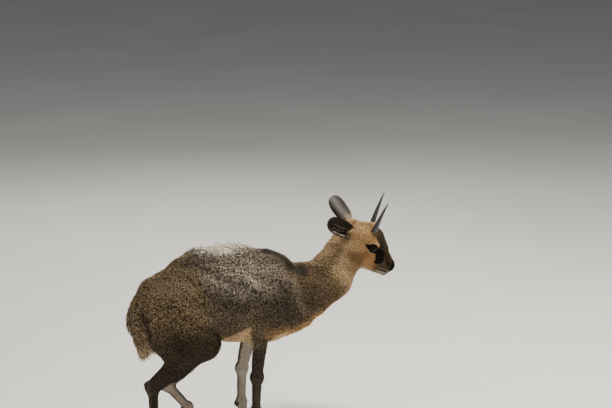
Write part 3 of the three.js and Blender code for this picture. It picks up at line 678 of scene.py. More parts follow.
def body_marks_and_painted_light(p):
    """Warm, dark, pale and speckled masks of the trunk, the neck and the legs, with painted shade and light.
    """
    x, z = p[:, 0], p[:, 2]
    aside = np.abs(p[:, 1])
    inside = leg_inside(p)
    haunch = ramp(-46 + (446 - z) * 0.29 - x, -10, 16)
    neck = ramp(x + 0.35 * (z - 360), 176, 262)
    # the top of the neck, made warmer and paler below: partly the coat's tone, partly painted light from
    # above
    nape = ramp(x + 0.6 * (z - 400), 286, 372)
    low_leg = ramp(-z, -236, -180)
    upper_arm = ramp(aside, 42, 56) * ramp(x, 78, 92) * ramp(-x, -156, -140)
    under = np.interp(x, BELLY_X, BELLY_Z) - z
    belly = ramp(under, -3, 12) * (1 - ramp(-z, -240, -222)) * (x < 262)
    belly *= (1 - upper_arm) * (1 - ramp(aside, 40, 54) * ramp(-x, -16, 2))
    silver = most(patch(p, *LOIN_SILVER), 0.7 * patch(p, *BACK_SILVER))
    wedge = np.clip(1.5 * most(*(stripe(p, *ends) for ends in WITHERS)), 0, 1)
    warm = 0.22 + 0.40 * haunch + 0.45 * neck + 0.30 * ramp(-z, -320, -262) * (x > 120)
    warm = warm * (1 - 0.75 * low_leg) + 0.10 * low_leg
    warm = most(warm, 0.9 * belly) * (1 - 0.9 * silver)
    warm += 0.36 * ramp(under + 44, 0, 34) * (x > 0) * ramp(z, 226, 256 + 34 * upper_arm)
    warm = np.clip(warm + 0.10 * nape, 0, 1)
    # pale includes a paler upper barrel and top of the neck: partly the coat's tone, partly painted light
    # from above
    pale = most(0.82 * belly, 0.92 * inside, 0.95 * silver, 0.26 * patch(p, *GREY_AND_LIT_BARREL), 0.52 * nape)
    dark = most(
        0.97 * wedge,
        *(share * stripe(p, *ends) for share, *ends in DARK_STRIPES),
        # patches darker partly from the coat's tone and partly as painted shade
        *(share * patch(p, *place) for share, *place in DARK_AND_SHADED_PATCHES),
        *(share * spot(p, *place) for share, *place in DARK_JOINTS),
        # darker down the lower haunch: partly the coat's tone, partly painted shade
        0.74 * ramp(-z, -345, -262) * haunch * (x > -185),
        # darker outer sides of the lower legs: partly the coat's tone, partly painted shade
        (0.62 - 0.25 * bell(np.abs(z - 100), 50)) * ramp(-z, -246, -214) * (1 - inside),
    )
    speckled = np.clip(1.0 - 0.75 * pale + 0.2 * silver, 0, 1) * (1 - 0.15 * neck) * (1 - 0.6 * wedge)
    return warm, dark, pale, speckled


print("bare at the nose", bare(to_body(np.array([[180.0, 0, -4]]))).round(2))

# %% Masks of the head, and all together
def head_marks(p):
    """The same four masks on the head."""
    q = folded(p)
    x, y, z = q.T
    r, outside, front, over = eye_polar(p)
    above, ahead = mouth_line(q)
    warm = 0.86 + 0.14 * ramp(x, 40, 90) - 0.75 * ramp(x, 118, 146) * ramp(-z, -8, 8)
    ridge = z - 0.42 * (150 - x) + 1.1 * (27 - y)
    dark = most(
        0.92 * ramp(ridge, 0, 12) * ramp(x, 60, 76),
        0.75 * ramp(x, 128, 160) * ramp(z, -14, 4),
        0.30 * ramp(x, 118, 150),
        0.55 * spot(q, (74, 12, 52), 12),
    )
    ring = bell(outside - 6.0, 3.4) * front * (r < EYE_RADIUS + 12)
    pale = most(
        0.85 * ring * (0.45 + 0.55 * (over < 0)),
        0.85 * ahead * ramp(-above, 0.5, 4),
        0.60 * ahead * bell(above - 3.0, 2.2),
        0.55 * ramp(-z, 34, 52),
        0.60 * spot(q / [1.3, 1, 1], (18 / 1.3, 40, -14), 17),
        0.30 * spot(q, (30, 22, 46), 18),
        0.36 * ramp(-x, -24, 6),
    )
    return warm, dark, pale * (1 - 0.9 * dark), 0.5 - 0.3 * ramp(x, 50, 90)


def markings_and_painted_light(p):
    """Warm, dark, pale and speckled masks at points of the body frame, blended behind the cheeks."""
    on_head = ramp((p - HEAD_PLANE[0]) @ HEAD_PLANE[1], -22, 6)
    pairs = zip(body_marks_and_painted_light(p), head_marks(p))
    return np.clip(np.stack([body * (1 - on_head) + head * on_head for body, head in pairs], 1), 0, 1)


def paint(piece, name, values):
    """Keeps four masks for each corner point as one attribute."""
    layer = piece.data.attributes.new(name, "FLOAT_COLOR", "POINT")
    layer.data.foreach_set("color", values.astype(np.float32).ravel())


p = body_frame(points_of(skin))
marks = markings_and_painted_light(p)
paint(skin, "marks", marks)
bare_share = np.zeros((len(p), 4))
bare_share[:, 0] = bare(p)
paint(skin, "bare", bare_share)
print("masks' means", marks.mean(0).round(2), "bare share", round(float(bare_share[:, 0].mean()), 3))

# %% [markdown]
# ## Grizzled hair
# Each hair of this antelope is banded: grey at the root, straw in the middle, and either black or gold
# at the tip. Close up that gives a pepper and salt speckle. One node group turns the masks, the place
# along the hair and two random numbers into a colour, and both the skin and the locks use it.

# %% Helpers for materials
def wire(tree, kind, *slots, **named):
    """Adds a node, and sets or links its inputs by order or by name."""
    node = tree.nodes.new("ShaderNode" + kind)
    for key, value in [*enumerate(slots), *named.items()]:
        socket = node.inputs[key if isinstance(key, int) else key.replace("_", " ")]
        if isinstance(value, bpy.types.NodeSocket):
            tree.links.new(value, socket)
        elif value is not None:
            socket.default_value = value
    return node


def sum_of(tree, operation, *slots):
    """A Math node's result."""
    node = wire(tree, "Math", *slots)
    node.operation = operation
    return node.outputs[0]


def mixed(tree, share, a, b, way="MIX"):
    """A Mix node's colour."""
    node = tree.nodes.new("ShaderNodeMix")
    node.data_type, node.blend_type = "RGBA", way
    for index, value in ((0, share), (6, a), (7, b)):
        if isinstance(value, bpy.types.NodeSocket):
            tree.links.new(value, node.inputs[index])
        else:
            node.inputs[index].default_value = value
    return node.outputs[2]


def ramped(tree, value, stops):
    """A colour ramp, with stops of (place, grey or colour)."""
    node = wire(tree, "ValToRGB", value)
    steps = node.color_ramp.elements
    while len(steps) < len(stops):
        steps.new(0.5)
    for step, (place, grey) in zip(steps, stops):
        step.position = place
        step.color = (grey, grey, grey, 1) if isinstance(grey, float) else (*grey, 1)
    return node.outputs[0]


def noise(tree, where, scale, detail, **settings):
    return wire(tree, "TexNoise", where, Scale=scale, Detail=detail, **settings).outputs[0]


def on_object(tree):
    return wire(tree, "TexCoord").outputs["Object"]


def bumped(tree, height, strength, distance):
    return wire(tree, "Bump", Strength=strength, Distance=distance, Height=height).outputs[0]


def feed(tree, surface, **sockets):
    """Links results to the shader's inputs."""
    for name, socket in sockets.items():
        tree.links.new(socket, surface.inputs[name.replace("_", " ")])


def attribute(tree, name):
    """The four values of an attribute."""
    node = tree.nodes.new("ShaderNodeAttribute")
    node.attribute_name = name
    parts = wire(tree, "SeparateColor", node.outputs["Color"]).outputs
    return [*parts[:3], node.outputs["Alpha"]]


def new_material(name, **settings):
    """A material with its Principled shader's constants set."""
    made = bpy.data.materials.new(name)
    made.use_nodes = True
    surface = made.node_tree.nodes["Principled BSDF"]
    for key, value in settings.items():
        surface.inputs[key.replace("_", " ")].default_value = value
    return made, made.node_tree, surface

# %% [markdown]
# ### Colours of one hair
# The bands sit at the same place along every hair, so a ramp along the hair multiplies the ground colour:
# below 1 near the root, and well above it at a gold tip. A random number per tuft decides which tip it gets.

# %% The node group
SLATE, GREY_BROWN = (0.100, 0.093, 0.088), (0.118, 0.090, 0.062)
STRAW, TAN = (0.172, 0.122, 0.066), (0.440, 0.250, 0.098)
BLACK_BROWN, SILVER, CREAM = (0.016, 0.010, 0.006), (0.680, 0.600, 0.500), (0.740, 0.530, 0.300)
GROUND = [(0.0, SLATE), (0.15, GREY_BROWN), (0.62, STRAW), (1.0, TAN)]
BLACK_TIP = [(0, 0.06), (0.45, 0.16), (0.62, 0.60), (0.72, 0.04), (1, 0.02)]
GOLD_TIP = [(0, 0.06), (0.5, 0.07), (0.64, 0.12), (0.74, 1.0), (1, 1.0)]
TIP_GAIN = 3.3


def grizzled_group():
    """Turns the masks, the place along a hair and two random numbers into a colour."""
    group = bpy.data.node_groups.new("grizzled hair", "ShaderNodeTree")
    for name in ("Warm", "Dark", "Pale", "Speckled", "Along", "Lot", "Shade"):
        group.interface.new_socket(name, in_out="INPUT", socket_type="NodeSocketFloat")
    group.interface.new_socket("Color", in_out="OUTPUT", socket_type="NodeSocketColor")
    given = group.nodes.new("NodeGroupInput").outputs
    base = ramped(group, given["Warm"], GROUND)
    is_gold = wire(group, "MapRange", given["Lot"], 0.47, 0.53).outputs[0]
    tips = [ramped(group, given["Along"], stops) for stops in (BLACK_TIP, GOLD_TIP)]
    lifted = mixed(group, 1.0, mixed(group, is_gold, *tips), (TIP_GAIN, TIP_GAIN, TIP_GAIN, 1), "MULTIPLY")
    speckle = mixed(group, given["Speckled"], (1, 1, 1, 1), lifted)
    base = mixed(group, given["Dark"], base, (*BLACK_BROWN, 1))
    base = mixed(group, given["Pale"], base, ramped(group, given["Warm"], [(0.15, SILVER), (0.75, CREAM)]))
    tone = sum_of(group, "MULTIPLY_ADD", given["Shade"], 0.42, 0.78)
    shaded = mixed(group, 1.0, base, speckle, "MULTIPLY")
    toned = wire(group, "CombineColor", tone, tone, tone).outputs[0]
    out = group.nodes.new("NodeGroupOutput")
    group.links.new(mixed(group, 1.0, shaded, toned, "MULTIPLY"), out.inputs["Color"])
    return group


grizzled = grizzled_group()


def use_grizzled(tree, marks, along, lot, shade):
    node = tree.nodes.new("ShaderNodeGroup")
    node.node_tree = grizzled
    for socket, value in zip(node.inputs, (*marks, along, lot, shade)):
        tree.links.new(value, socket)
    return node.outputs["Color"]


print("group inputs", len(grizzled.interface.items_tree) - 1)

# %% [markdown]
# ### Hide and hair
# Under the coat the hide has the same markings, a little darker, with noise drawn out downwards in place of
# hairs. Where it is bare, at the nose, the lids, the lips and the scent gland, it is black leather with
# small cells and a soft gloss. The locks read their place along the hair from an attribute.

# %% The hide under the coat
hide, tree, surface = new_material("hide", Roughness=0.8, Specular_IOR_Level=0.02)
where = on_object(tree)
strands = wire(tree, "Mapping", where, Scale=(1, 1, 0.35)).outputs[0]
fine = noise(tree, strands, 620.0, 3.0, Roughness=0.6)
coarse = noise(tree, where, 60.0, 3.0)
spread = wire(tree, "MapRange", fine, From_Min=0.3, From_Max=0.7).outputs[0]
fur = use_grizzled(tree, attribute(tree, "marks"), spread, noise(tree, strands, 900.0, 2.0), coarse)
fur = mixed(tree, 1.0, fur, (0.72, 0.70, 0.68, 1), "MULTIPLY")
bare_skin = attribute(tree, "bare")[0]
leather = ramped(tree, coarse, [(0.3, (0.002, 0.002, 0.002)), (0.7, (0.006, 0.005, 0.004))])
cells = wire(tree, "TexVoronoi", where, Scale=900.0).outputs["Distance"]
feed(
    tree, surface,
    Base_Color=mixed(tree, bare_skin, fur, leather),
    Roughness=sum_of(tree, "MULTIPLY_ADD", bare_skin, -0.42, 0.82),
    Normal=bumped(tree, mixed(tree, bare_skin, fine, cells), 0.35, 0.0006),
)
skin.data.materials.clear()
skin.data.materials.append(hide)
skin.data.polygons.foreach_set("material_index", np.zeros(len(skin.data.polygons), np.int32))
print("hide", len(tree.nodes), "nodes")

# %% The hair of the coat
hair, tree, surface = new_material("coat hair", Roughness=0.6, Specular_IOR_Level=0.3)
lot, along, shade, _ = attribute(tree, "strand")
grain = noise(tree, on_object(tree), 1500.0, 1.0)
feed(
    tree, surface,
    Base_Color=use_grizzled(tree, attribute(tree, "marks"), along, lot, shade),
    Normal=bumped(tree, grain, 0.2, 0.0003),
)
print("hair", len(tree.nodes), "nodes")

# %% [markdown]
# ## The coat
# The hair is solid mesh: flat tapered locks with three sides, rooted just under the skin, curved so that
# they rise at the root and lie down towards the tip. Their roots are spread evenly over the skin, and
# each takes its way, length and lift from the named places, with a little disorder. Particle hair would
# be quicker, but it is lost when the model is exported.

# %% Locks from arrays
rng = np.random.default_rng(11)
PATCH = 0.003
ROOT_DEPTH = 0.0006
CORNERS = ((-1, -0.3), (1, -0.3), (0, 0.45))
EDGES = ((0, 1), (1, 2), (2, 0))


def laid(way, normal):
    """Ways turned into the surface."""
    return unit(way - normal * (way * normal).sum(1, keepdims=True))


def lock_faces(steps):
    """Triangles of one lock: its root's end, the sides of each step and the tip."""
    faces = [(0, 2, 1)]
    for a in range(0, 3 * (steps - 1), 3):
        for i, j in EDGES:
            faces += [(a + i, a + j, a + j + 3), (a + i, a + j + 3, a + i + 3)]
    last = 3 * (steps - 1)
    return np.array(faces + [(last + i, last + j, last + 3) for i, j in EDGES])


def lock_mesh(name, root, normal, way, long, lift, wide, marks, lot, spots, steps=2):
    """One mesh of locks, in metres. Spots are the roots' places on the unwrap."""
    n, count = len(root), 3 * steps + 1
    side = unit(np.cross(normal, way))
    points, uv = np.empty((n, count, 3)), np.empty((n, count, 2))
    strand = np.ones((n, count, 4))
    long, lift, wide = long[:, None], lift[:, None], wide[:, None]
    for step in range(steps + 1):
        t = (step / steps) ** 0.7
        rise = lift * (1.9 * t - 0.9 * t * t)
        middle = root + long * (t * way + rise * normal) - ROOT_DEPTH * normal * (step == 0)
        strand[:, 3 * step:, 1] = t
        if step == steps:
            points[:, -1], uv[:, -1] = middle, spots + [0, PATCH]
            break
        half = wide / 2 * (0.76 + 0.4 * t)
        for corner, (across, up) in enumerate(CORNERS, 3 * step):
            points[:, corner] = middle + half * (across * side + up * normal)
            uv[:, corner] = spots + [across * PATCH / 2, PATCH * (t + 0.12 * (up > 0))]
    corners = (lock_faces(steps)[None] + count * np.arange(n)[:, None, None]).reshape(-1)
    mesh = bpy.data.meshes.new(name)
    mesh.vertices.add(n * count)
    mesh.vertices.foreach_set("co", points.ravel())
    mesh.loops.add(len(corners))
    mesh.loops.foreach_set("vertex_index", corners.astype(np.int32))
    mesh.polygons.add(len(corners) // 3)
    mesh.polygons.foreach_set("loop_start", np.arange(0, len(corners), 3, dtype=np.int32))
    smoothed(mesh)
    mesh.uv_layers.new(name="OFBake").data.foreach_set("uv", uv.reshape(-1, 2)[corners].ravel())
    mesh.update(calc_edges=True)
    piece = bpy.data.objects.new(name, mesh)
    bpy.context.scene.collection.objects.link(piece)
    paint(piece, "marks", np.repeat(marks, count, 0))
    strand[:, :, 0] = lot[:, None]
    strand[:, :, 2] = rng.random(n)[:, None]
    paint(piece, "strand", strand.reshape(-1, 4))
    mesh.materials.append(hair)
    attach(piece, "root")
    return piece


print("triangles in a lock of 2 steps", len(lock_faces(2)))

# %% Roots, tufts and disorder
CLUMP_PULL, CLUMP_SPREAD = 1.4, 0.25
WAVES, WAVE_HEIGHT = 5, 2.6


def scattered(piece, spacing, keep=None):
    """Roots spread over a mesh: places and normals in the row frame. spacing(p) is in millimetres."""
    mesh = piece.data
    mesh.calc_loop_triangles()
    corners = read(mesh.loop_triangles, "vertices", np.int32)
    points, normals = points_of(piece), read(mesh.vertices, "normal")
    a, b, c = (points[corners[:, i]] for i in range(3))
    area = np.linalg.norm(np.cross(b - a, c - a), axis=1) * 0.5e6
    middle = (a + b + c) / 3
    if keep is not None:
        area = area * keep(body_frame(middle))
    total = np.cumsum(area / spacing(body_frame(middle)) ** 2)
    picks = np.searchsorted(total, np.arange(int(total[-1])) + rng.random(int(total[-1])))
    picks = np.minimum(picks, len(corners) - 1)
    s, t = rng.random(len(picks)), rng.random(len(picks))
    over = s + t > 1
    s[over], t[over] = 1 - s[over], 1 - t[over]
    share = np.stack([1 - s - t, s, t], 1)[:, :, None]
    root = (points[corners[picks]] * share).sum(1)
    return root, unit((normals[corners[picks]] * share).sum(1)), corners[picks]


def clumped(root, way, long, share):
    """Draws the hairs of each small group towards one shared tip, and gives the group's number."""
    chosen = np.flatnonzero(rng.random(len(root)) < share)
    tree = KDTree(len(chosen))
    for index, at in zip(chosen, root[chosen]):
        tree.insert(at, int(index))
    tree.balance()
    leader = np.array([tree.find(at)[1] for at in root])
    tip = root[leader] + way[leader] * long[leader][:, None] + CLUMP_SPREAD * (root - root[leader])
    return unit(way + CLUMP_PULL * unit(tip - root)), leader


def drift(p, scale, seed):
    """Slow waves over space, three values from about minus 1 to 1, for partings and ruffles."""
    waves = np.random.default_rng(seed)
    value = np.zeros_like(p)
    for _ in range(WAVES):
        ways = waves.normal(size=(3, 3)) / scale
        value += np.sin(p @ ways + waves.random(3) * 6.28)
    return value / WAVE_HEIGHT


print("drift at the loin", drift(np.array([[LOIN[0], 0.0, LOIN[1]]]), 26.0, 3).round(2))

# %% [markdown]
# ### The lie of the hair
# Hair is closest on the face and widest apart on the trunk. Slow waves of disorder part and ruffle it, and
# small groups of hairs lean together into tufts that share one tip colour. The coat is cut into regions,
# because no piece should grow too heavy, and each region is unwrapped round and along its own axis.

# %% Roots, regions and the lie of the hair
NECK_PLANE = (np.array([236.0, 0, 358.0]), np.array([0.86, 0, 0.5]))
LEG_TOP, FLANK_BACK, FLANK_FRONT, MID_BODY = 236, -60, 70, 30
TUFTS, TUFT_SHARE = 0.52, 0.94


def spacing_at(p):
    """Distance between roots, in millimetres."""
    on_head = np.where(folded(p)[:, 0] > 60, 1.45, 1.75)
    return np.where(past(p, HEAD_PLANE), on_head, np.where(p[:, 2] < 226, 1.95, 2.2))


def hairy(p):
    return (bare(p) < 0.4) * (p[:, 2] > HOOF_HEIGHT + 2)


root, normal, _ = scattered(skin, spacing_at, hairy)
p = body_frame(root)
marks = markings_and_painted_light(p)
way, long, lift = coat_at(p)
way = way + 0.16 * drift(p, 26.0, 3) + 0.07 * drift(p, 7.0, 4) + rng.normal(size=p.shape) * 0.10
way = laid(way, normal)
long = long * (0.8 + 0.4 * rng.random(len(p))) * (1 + 0.35 * patch(p, (60, 80, 400), (110, 70, 90)))
way, leader = clumped(root, way, long / 1000, TUFTS)
way = laid(way, normal)
long = np.where(past(p, HEAD_PLANE) & (folded(p)[:, 0] > 130), 0.6 * long, long)
lot = TUFT_SHARE * rng.random(len(p))[leader] + (1 - TUFT_SHARE) * rng.random(len(p))
lift = lift * (0.75 + 0.5 * rng.random(len(p))) * (1 + 0.45 * drift(p, 16.0, 5)[:, 0])
lift *= 1 - 0.4 * ramp(np.abs(p[:, 1]), 78, 92)
wide = np.clip(0.55 + 0.075 * long, 0.75, 1.9)
x, y, z = p.T


def by_axis(p, a, b):
    """A place on the unwrap: round a limb's axis, and along it."""
    a, b = np.array(a, float), np.array(b, float)
    axis = (b - a) / np.linalg.norm(b - a)
    along = (p - a) @ axis / np.linalg.norm(b - a)
    beside = np.cross(axis, [0.0, 1.0, 0.0])
    beside /= np.linalg.norm(beside)
    turn = np.arctan2((p - a) @ np.cross(axis, beside), (p - a) @ beside) / (2 * math.pi) + 0.5
    return np.stack([0.01 + 0.98 * turn, np.clip(0.01 + 0.98 * along, 0.002, 0.995)], 1)


on_head = past(p, HEAD_PLANE)
on_neck = ~on_head & past(p, NECK_PLANE)
low = (z < LEG_TOP) & ~on_head & ~on_neck
LEGS = [("hind", HIND, "knee", x < MID_BODY), ("fore", FORE, "elbow", x >= MID_BODY)]
regions = {
    "coat_head": (on_head, (347, 0, 400), (480, 0, 420)),
    "coat_neck": (on_neck, (200, 0, 340), (370, 0, 520)),
}
for name, side in SIDES.items():
    here = (y * side > 0) & ~on_head & ~on_neck & ~low
    middle = (x >= FLANK_BACK) & (x < FLANK_FRONT)
    regions["coat_haunch_" + name] = (here & (x < FLANK_BACK), (-240, 0, 330), (-40, 0, 330))
    regions["coat_flank_" + name] = (here & middle, (-70, 0, 360), (80, 0, 360))
    regions["coat_shoulder_" + name] = (here & (x >= FLANK_FRONT), (60, 0, 350), (270, 0, 350))
    for end, forms, top, half in LEGS:
        foot = (forms[name]["hoof"], forms[name]["fetlock"][1], 20)
        chosen = low & (y * side > 0) & half
        regions["coat_" + end + "_leg_" + name] = (chosen, forms[name][top], foot)
total = 0
for name, (chosen, a, b) in regions.items():
    piece = lock_mesh(
        name, root[chosen], normal[chosen], way[chosen], long[chosen] / 1000, lift[chosen],
        wide[chosen] / 1000, marks[chosen], lot[chosen], by_axis(p[chosen], a, b),
    )
    total += len(piece.data.polygons)
    print(name, len(piece.data.polygons))
print("triangles in the coat", total)

# %% [markdown]
# ### Longer hair
# The buck's loin is ruffled by a breeze, and its tail is a short brush. Both get a second, sparser coat of
# longer locks of three steps over the first, so that they stand out against the rump and the back.

# %% Ruffled loin and tail brush
LONGER_WIDE = 0.0019


def on_loin(p):
    return patch(p, (30, 16, 488), (80, 40, 26)) > 0.35


def on_tail(p):
    return (p[:, 0] < -184) & (np.abs(p[:, 1]) < 30) & (p[:, 2] < 322) & (p[:, 2] > 218)


# where, gap between roots, length (both in millimetres), lift and disorder
LONGER = {
    "coat_ruffle": (on_loin, 3.6, 22, 0.36, 0.35),
    "coat_tail_brush": (on_tail, 2.7, 30, 0.24, 0.13),
}
for name, (keep, gap, size, stand, disorder) in LONGER.items():
    root, normal, _ = scattered(skin, lambda p: np.full(len(p), gap), keep)
    p = body_frame(root)
    way = coat_at(p)[0] + 0.30 * drift(p, 14.0, 9) + rng.normal(size=p.shape) * disorder
    way = laid(way, normal)
    size = size * (0.7 + 0.5 * rng.random(len(p)))
    tips = body_frame(root + way * size[:, None] / 1000)
    size = np.where(tips[:, 2] < 205, size * 0.6, size)
    lock_mesh(
        name, root, normal, way, size / 1000, stand * (0.6 + 0.6 * rng.random(len(p))),
        np.full(len(p), LONGER_WIDE), markings_and_painted_light(p), rng.random(len(p)),
        by_axis(p, (-240, 0, 300), (120, 0, 480)), 3,
    )
    print(name, len(p), "locks")

# %% [markdown]
# ## Eyes
# The eye of a buck is a large dark ball with a wet cornea, set so deep that only the almond between the
# lids shows. A sphere is turned so that its pole looks outwards; its rings then run round the iris, and
# the rings nearest the pole are drawn out to make the bulge of the cornea.

# %% Eyeballs
CORNEA = 0.0011
CORNEA_FROM = 0.72
IRIS = [
    (0.0, (0.006, 0.005, 0.004)), (0.70, (0.006, 0.005, 0.004)), (0.74, (0.016, 0.008, 0.004)),
    (0.86, (0.010, 0.005, 0.003)), (0.89, (0.002, 0.002, 0.002)),
]
eye_stuff, tree, surface = new_material("wet eye", Roughness=0.07, Specular_IOR_Level=0.09)
uv = wire(tree, "UVMap")
uv.uv_map = "UVMap"
height = wire(tree, "SeparateXYZ", uv.outputs[0]).outputs[1]
spokes = noise(tree, uv.outputs[0], 60.0, 2.0)
feed(tree, surface, Base_Color=mixed(tree, 0.6, ramped(tree, height, IRIS), spokes, "MULTIPLY"))


def finished(piece, name, node, stuff):
    """Names a piece, gives it its material, hides the solid that it stands for, and hangs it on the root."""
    piece.name = piece.data.name = name
    smoothed(piece.data)
    piece.data.materials.clear()
    piece.data.materials.append(stuff)
    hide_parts(node)
    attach(piece, "root")


def moved_to(piece, place, turn=None):
    """Moves a piece's mesh to a place of the body frame, and turns it first if asked."""
    at = Matrix.Translation(Vector(row_frame(np.array(place, float)).tolist()))
    piece.data.transform(at @ turn if turn else at)


def placed(piece, columns, place):
    """Turns a piece to three axes and moves it. Axes and place are in the head's frame."""
    axes = [Vector((HEAD_TURN @ np.array(column)).tolist()).normalized() for column in columns]
    moved_to(piece, to_body(np.array(place, float)), Matrix(axes).transposed().to_4x4())


for name, side in SIDES.items():
    ball = added(bpy.ops.mesh.primitive_uv_sphere_add, segments=48, ring_count=32, radius=EYE_RADIUS / 1000)
    co = points_of(ball)
    co[:, 2] += CORNEA * ramp(co[:, 2] * 1000 / EYE_RADIUS, CORNEA_FROM, 1.0)
    set_points(ball, co)
    mirror = np.array([1, side, 1])
    gaze, level = OUT * mirror, ALONG * mirror
    placed(ball, (level, np.cross(gaze, level), gaze), EYE * mirror)
    finished(ball, "eyeball_" + name, "eye_" + name, eye_stuff)
print("faces of an eyeball", len(ball.data.polygons))

# %% [markdown]
# ## Horns
# The buck's horns are short straight spikes, nearly black, with low rings on their lower half and fine
# lengthwise grain. A short cylinder's top is extruded from ring to ring, each ring scaled to its width.

# %% Horns
HORN_ROWS, AROUND = 52, 28
RINGS, RING_HEIGHT = 7, 0.75
HORN_WIDE, HORN_TAPER, HORN_BOW = 8.2, 0.68, -1.5


def drawn_out(sections, around):
    """A closed rod along z: sections are (sideways shift, height, half width), in millimetres."""
    at, low, last = sections[0]
    step = sections[1][1] - low
    rod = added(
        bpy.ops.mesh.primitive_cylinder_add, vertices=around, radius=last / 1000, depth=step / 1000,
        location=(at / 1000, 0, (low + step / 2) / 1000),
    )
    bpy.ops.object.transform_apply(location=True, rotation=True, scale=True)
    edit_faces(rod, read(rod.data.polygons, "normal")[:, 2] > 0.9)
    high = low + step
    for shift, height, wide in sections[1:]:
        if height > high:
            move = ((shift - at) / 1000, 0, (height - high) / 1000)
            bpy.ops.mesh.extrude_region_move(TRANSFORM_OT_translate={"value": move})
            at, high = shift, height
        grow = wide / last
        bpy.ops.transform.resize(value=(grow, grow, 1), center_override=(at / 1000, 0, high / 1000))
        last = wide
    bpy.ops.object.mode_set(mode="OBJECT")
    return rod


def with_grain(piece):
    """Keeps, for each corner, the turn round the rod and the way along it, as an attribute."""
    co = points_of(piece)
    grain = np.ones((len(co), 4))
    grain[:, 0] = np.abs(np.arctan2(co[:, 1], co[:, 0])) / math.pi
    grain[:, 1] = (co[:, 2] - co[:, 2].min()) / np.ptp(co[:, 2])
    paint(piece, "grain", grain)


def horny(name, dark, light, streaks):
    """Horn with streaks along it, worn here and there."""
    made, tree, surface = new_material(name, Roughness=0.42)
    turn, along, _, _ = attribute(tree, "grain")
    lines = wire(tree, "CombineXYZ", sum_of(tree, "MULTIPLY", turn, streaks), along).outputs[0]
    grain = noise(tree, lines, 3.0, 4.0, Roughness=0.6)
    worn = noise(tree, on_object(tree), 90.0, 3.0)
    shade = ramped(tree, grain, [(0.32, dark), (0.72, light)])
    feed(
        tree, surface,
        Base_Color=mixed(tree, worn, shade, (0.5, 0.5, 0.5, 1), "SOFT_LIGHT"),
        Roughness=sum_of(tree, "MULTIPLY_ADD", grain, 0.35, 0.26),
        Normal=bumped(tree, grain, 0.5, 0.0005),
    )
    return made


horn_stuff = horny("horn", (0.010, 0.010, 0.011), (0.075, 0.072, 0.074), 14.0)
hoof_stuff = horny("hoof horn", (0.012, 0.010, 0.009), (0.070, 0.058, 0.048), 9.0)
for name, side in SIDES.items():
    root = np.array([65, 19.5 * side, 33.0])
    tip = np.array([33, 36.5 * side, 143.0])
    reach = np.linalg.norm(tip - root)
    sections = []
    for row in range(HORN_ROWS + 1):
        t = row / HORN_ROWS
        saw = (t * 2 * RINGS) % 1
        ridge = RING_HEIGHT * (1 - saw) ** 2 * ramp(t, 0.08, 0.16) * (1 - ramp(t, 0.42, 0.56))
        wide = HORN_WIDE * (1 - t) ** HORN_TAPER * (1 - 0.12 * t) + 0.25 + ridge
        sections.append((HORN_BOW * math.sin(math.pi * t), reach * t, wide))
    horn = drawn_out(sections, AROUND)
    with_grain(horn)
    axis = (tip - root) / reach
    front = np.cross(np.array([0, 1, 0]) - axis * axis[1], axis)
    placed(horn, (front, np.cross(axis, front), axis), root)
    finished(horn, "spike_" + name, "horn_" + name, horn_stuff)
print("faces of a horn", len(horn.data.polygons))

# %% [markdown]
# ## Hooves and dewclaws
# A klipspringer stands on the very tips of narrow peg-like hooves. One hoof and one dewclaw are modelled
# and copied to every toe, each copy with its own mesh.

# %% Hooves and dewclaws
TOE_SPREAD = 8.4
HOOF_LEAN, HOOF_OVAL = -0.05, 1.12
HOOF_ROWS = [
    (0.0, 5.3), (0.5, 6.1), (1.8, 6.9), (4, 7.15), (7, 7.4), (8, 7.2), (12, 7.55), (13, 7.4), (18, 7.75),
    (19, 7.6), (25, 7.85), (30.2, 7.8), (31, 7.2),
]
CLAW_BACK, CLAW_DOWN, CLAW_TILT, CLAW_SIZE = 13.5, 6, 0.35, (0.0044, 0.0040, 0.0078, 1)
hoof = drawn_out([(HOOF_LEAN * height, height, wide) for height, wide in HOOF_ROWS], AROUND)
hoof.data.transform(Matrix.Diagonal((HOOF_OVAL, 1, 1, 1)))
with_grain(hoof)
claw = added(bpy.ops.mesh.primitive_uv_sphere_add, segments=20, ring_count=14, radius=1)
co = points_of(claw)
co[:, :2] *= (1 + 0.22 * co[:, 2:])
set_points(claw, co)
with_grain(claw)
claw.data.transform(Matrix.Rotation(CLAW_TILT, 4, "Y") @ Matrix.Diagonal(CLAW_SIZE))
toes = 0
for end, forms in (("fore", FORE), ("hind", HIND)):
    for name, side in SIDES.items():
        fetlock = forms[name]["fetlock"]
        for place, shift in (("inner", -1), ("outer", 1)):
            aside = fetlock[1] + shift * side * TOE_SPREAD
            spots = {
                "hoof": (hoof, (forms[name]["hoof"], aside, 0)),
                "dewclaw": (claw, (fetlock[0] - CLAW_BACK, aside, fetlock[2] - CLAW_DOWN)),
            }
            for part, (model, at) in spots.items():
                node = "_".join((part, end, name, place))
                piece = bpy.data.objects.new(node + "_horn", model.data.copy())
                bpy.context.scene.collection.objects.link(piece)
                moved_to(piece, at)
                finished(piece, node + "_horn", node, hoof_stuff)
                toes += 1
for model in (hoof, claw):
    bpy.data.objects.remove(model)
print("hooves and dewclaws", toes)

# %% [markdown]
# ## Ears
# The ears are large cupped leaves. The near one points back and shows its black inside with pale streaks
# of hair, the far one shows its grey back. A flat grid is bent to the leaf's shape and given its wall by
# Solidify; hair goes on both sides, long and pale in three streaks inside.

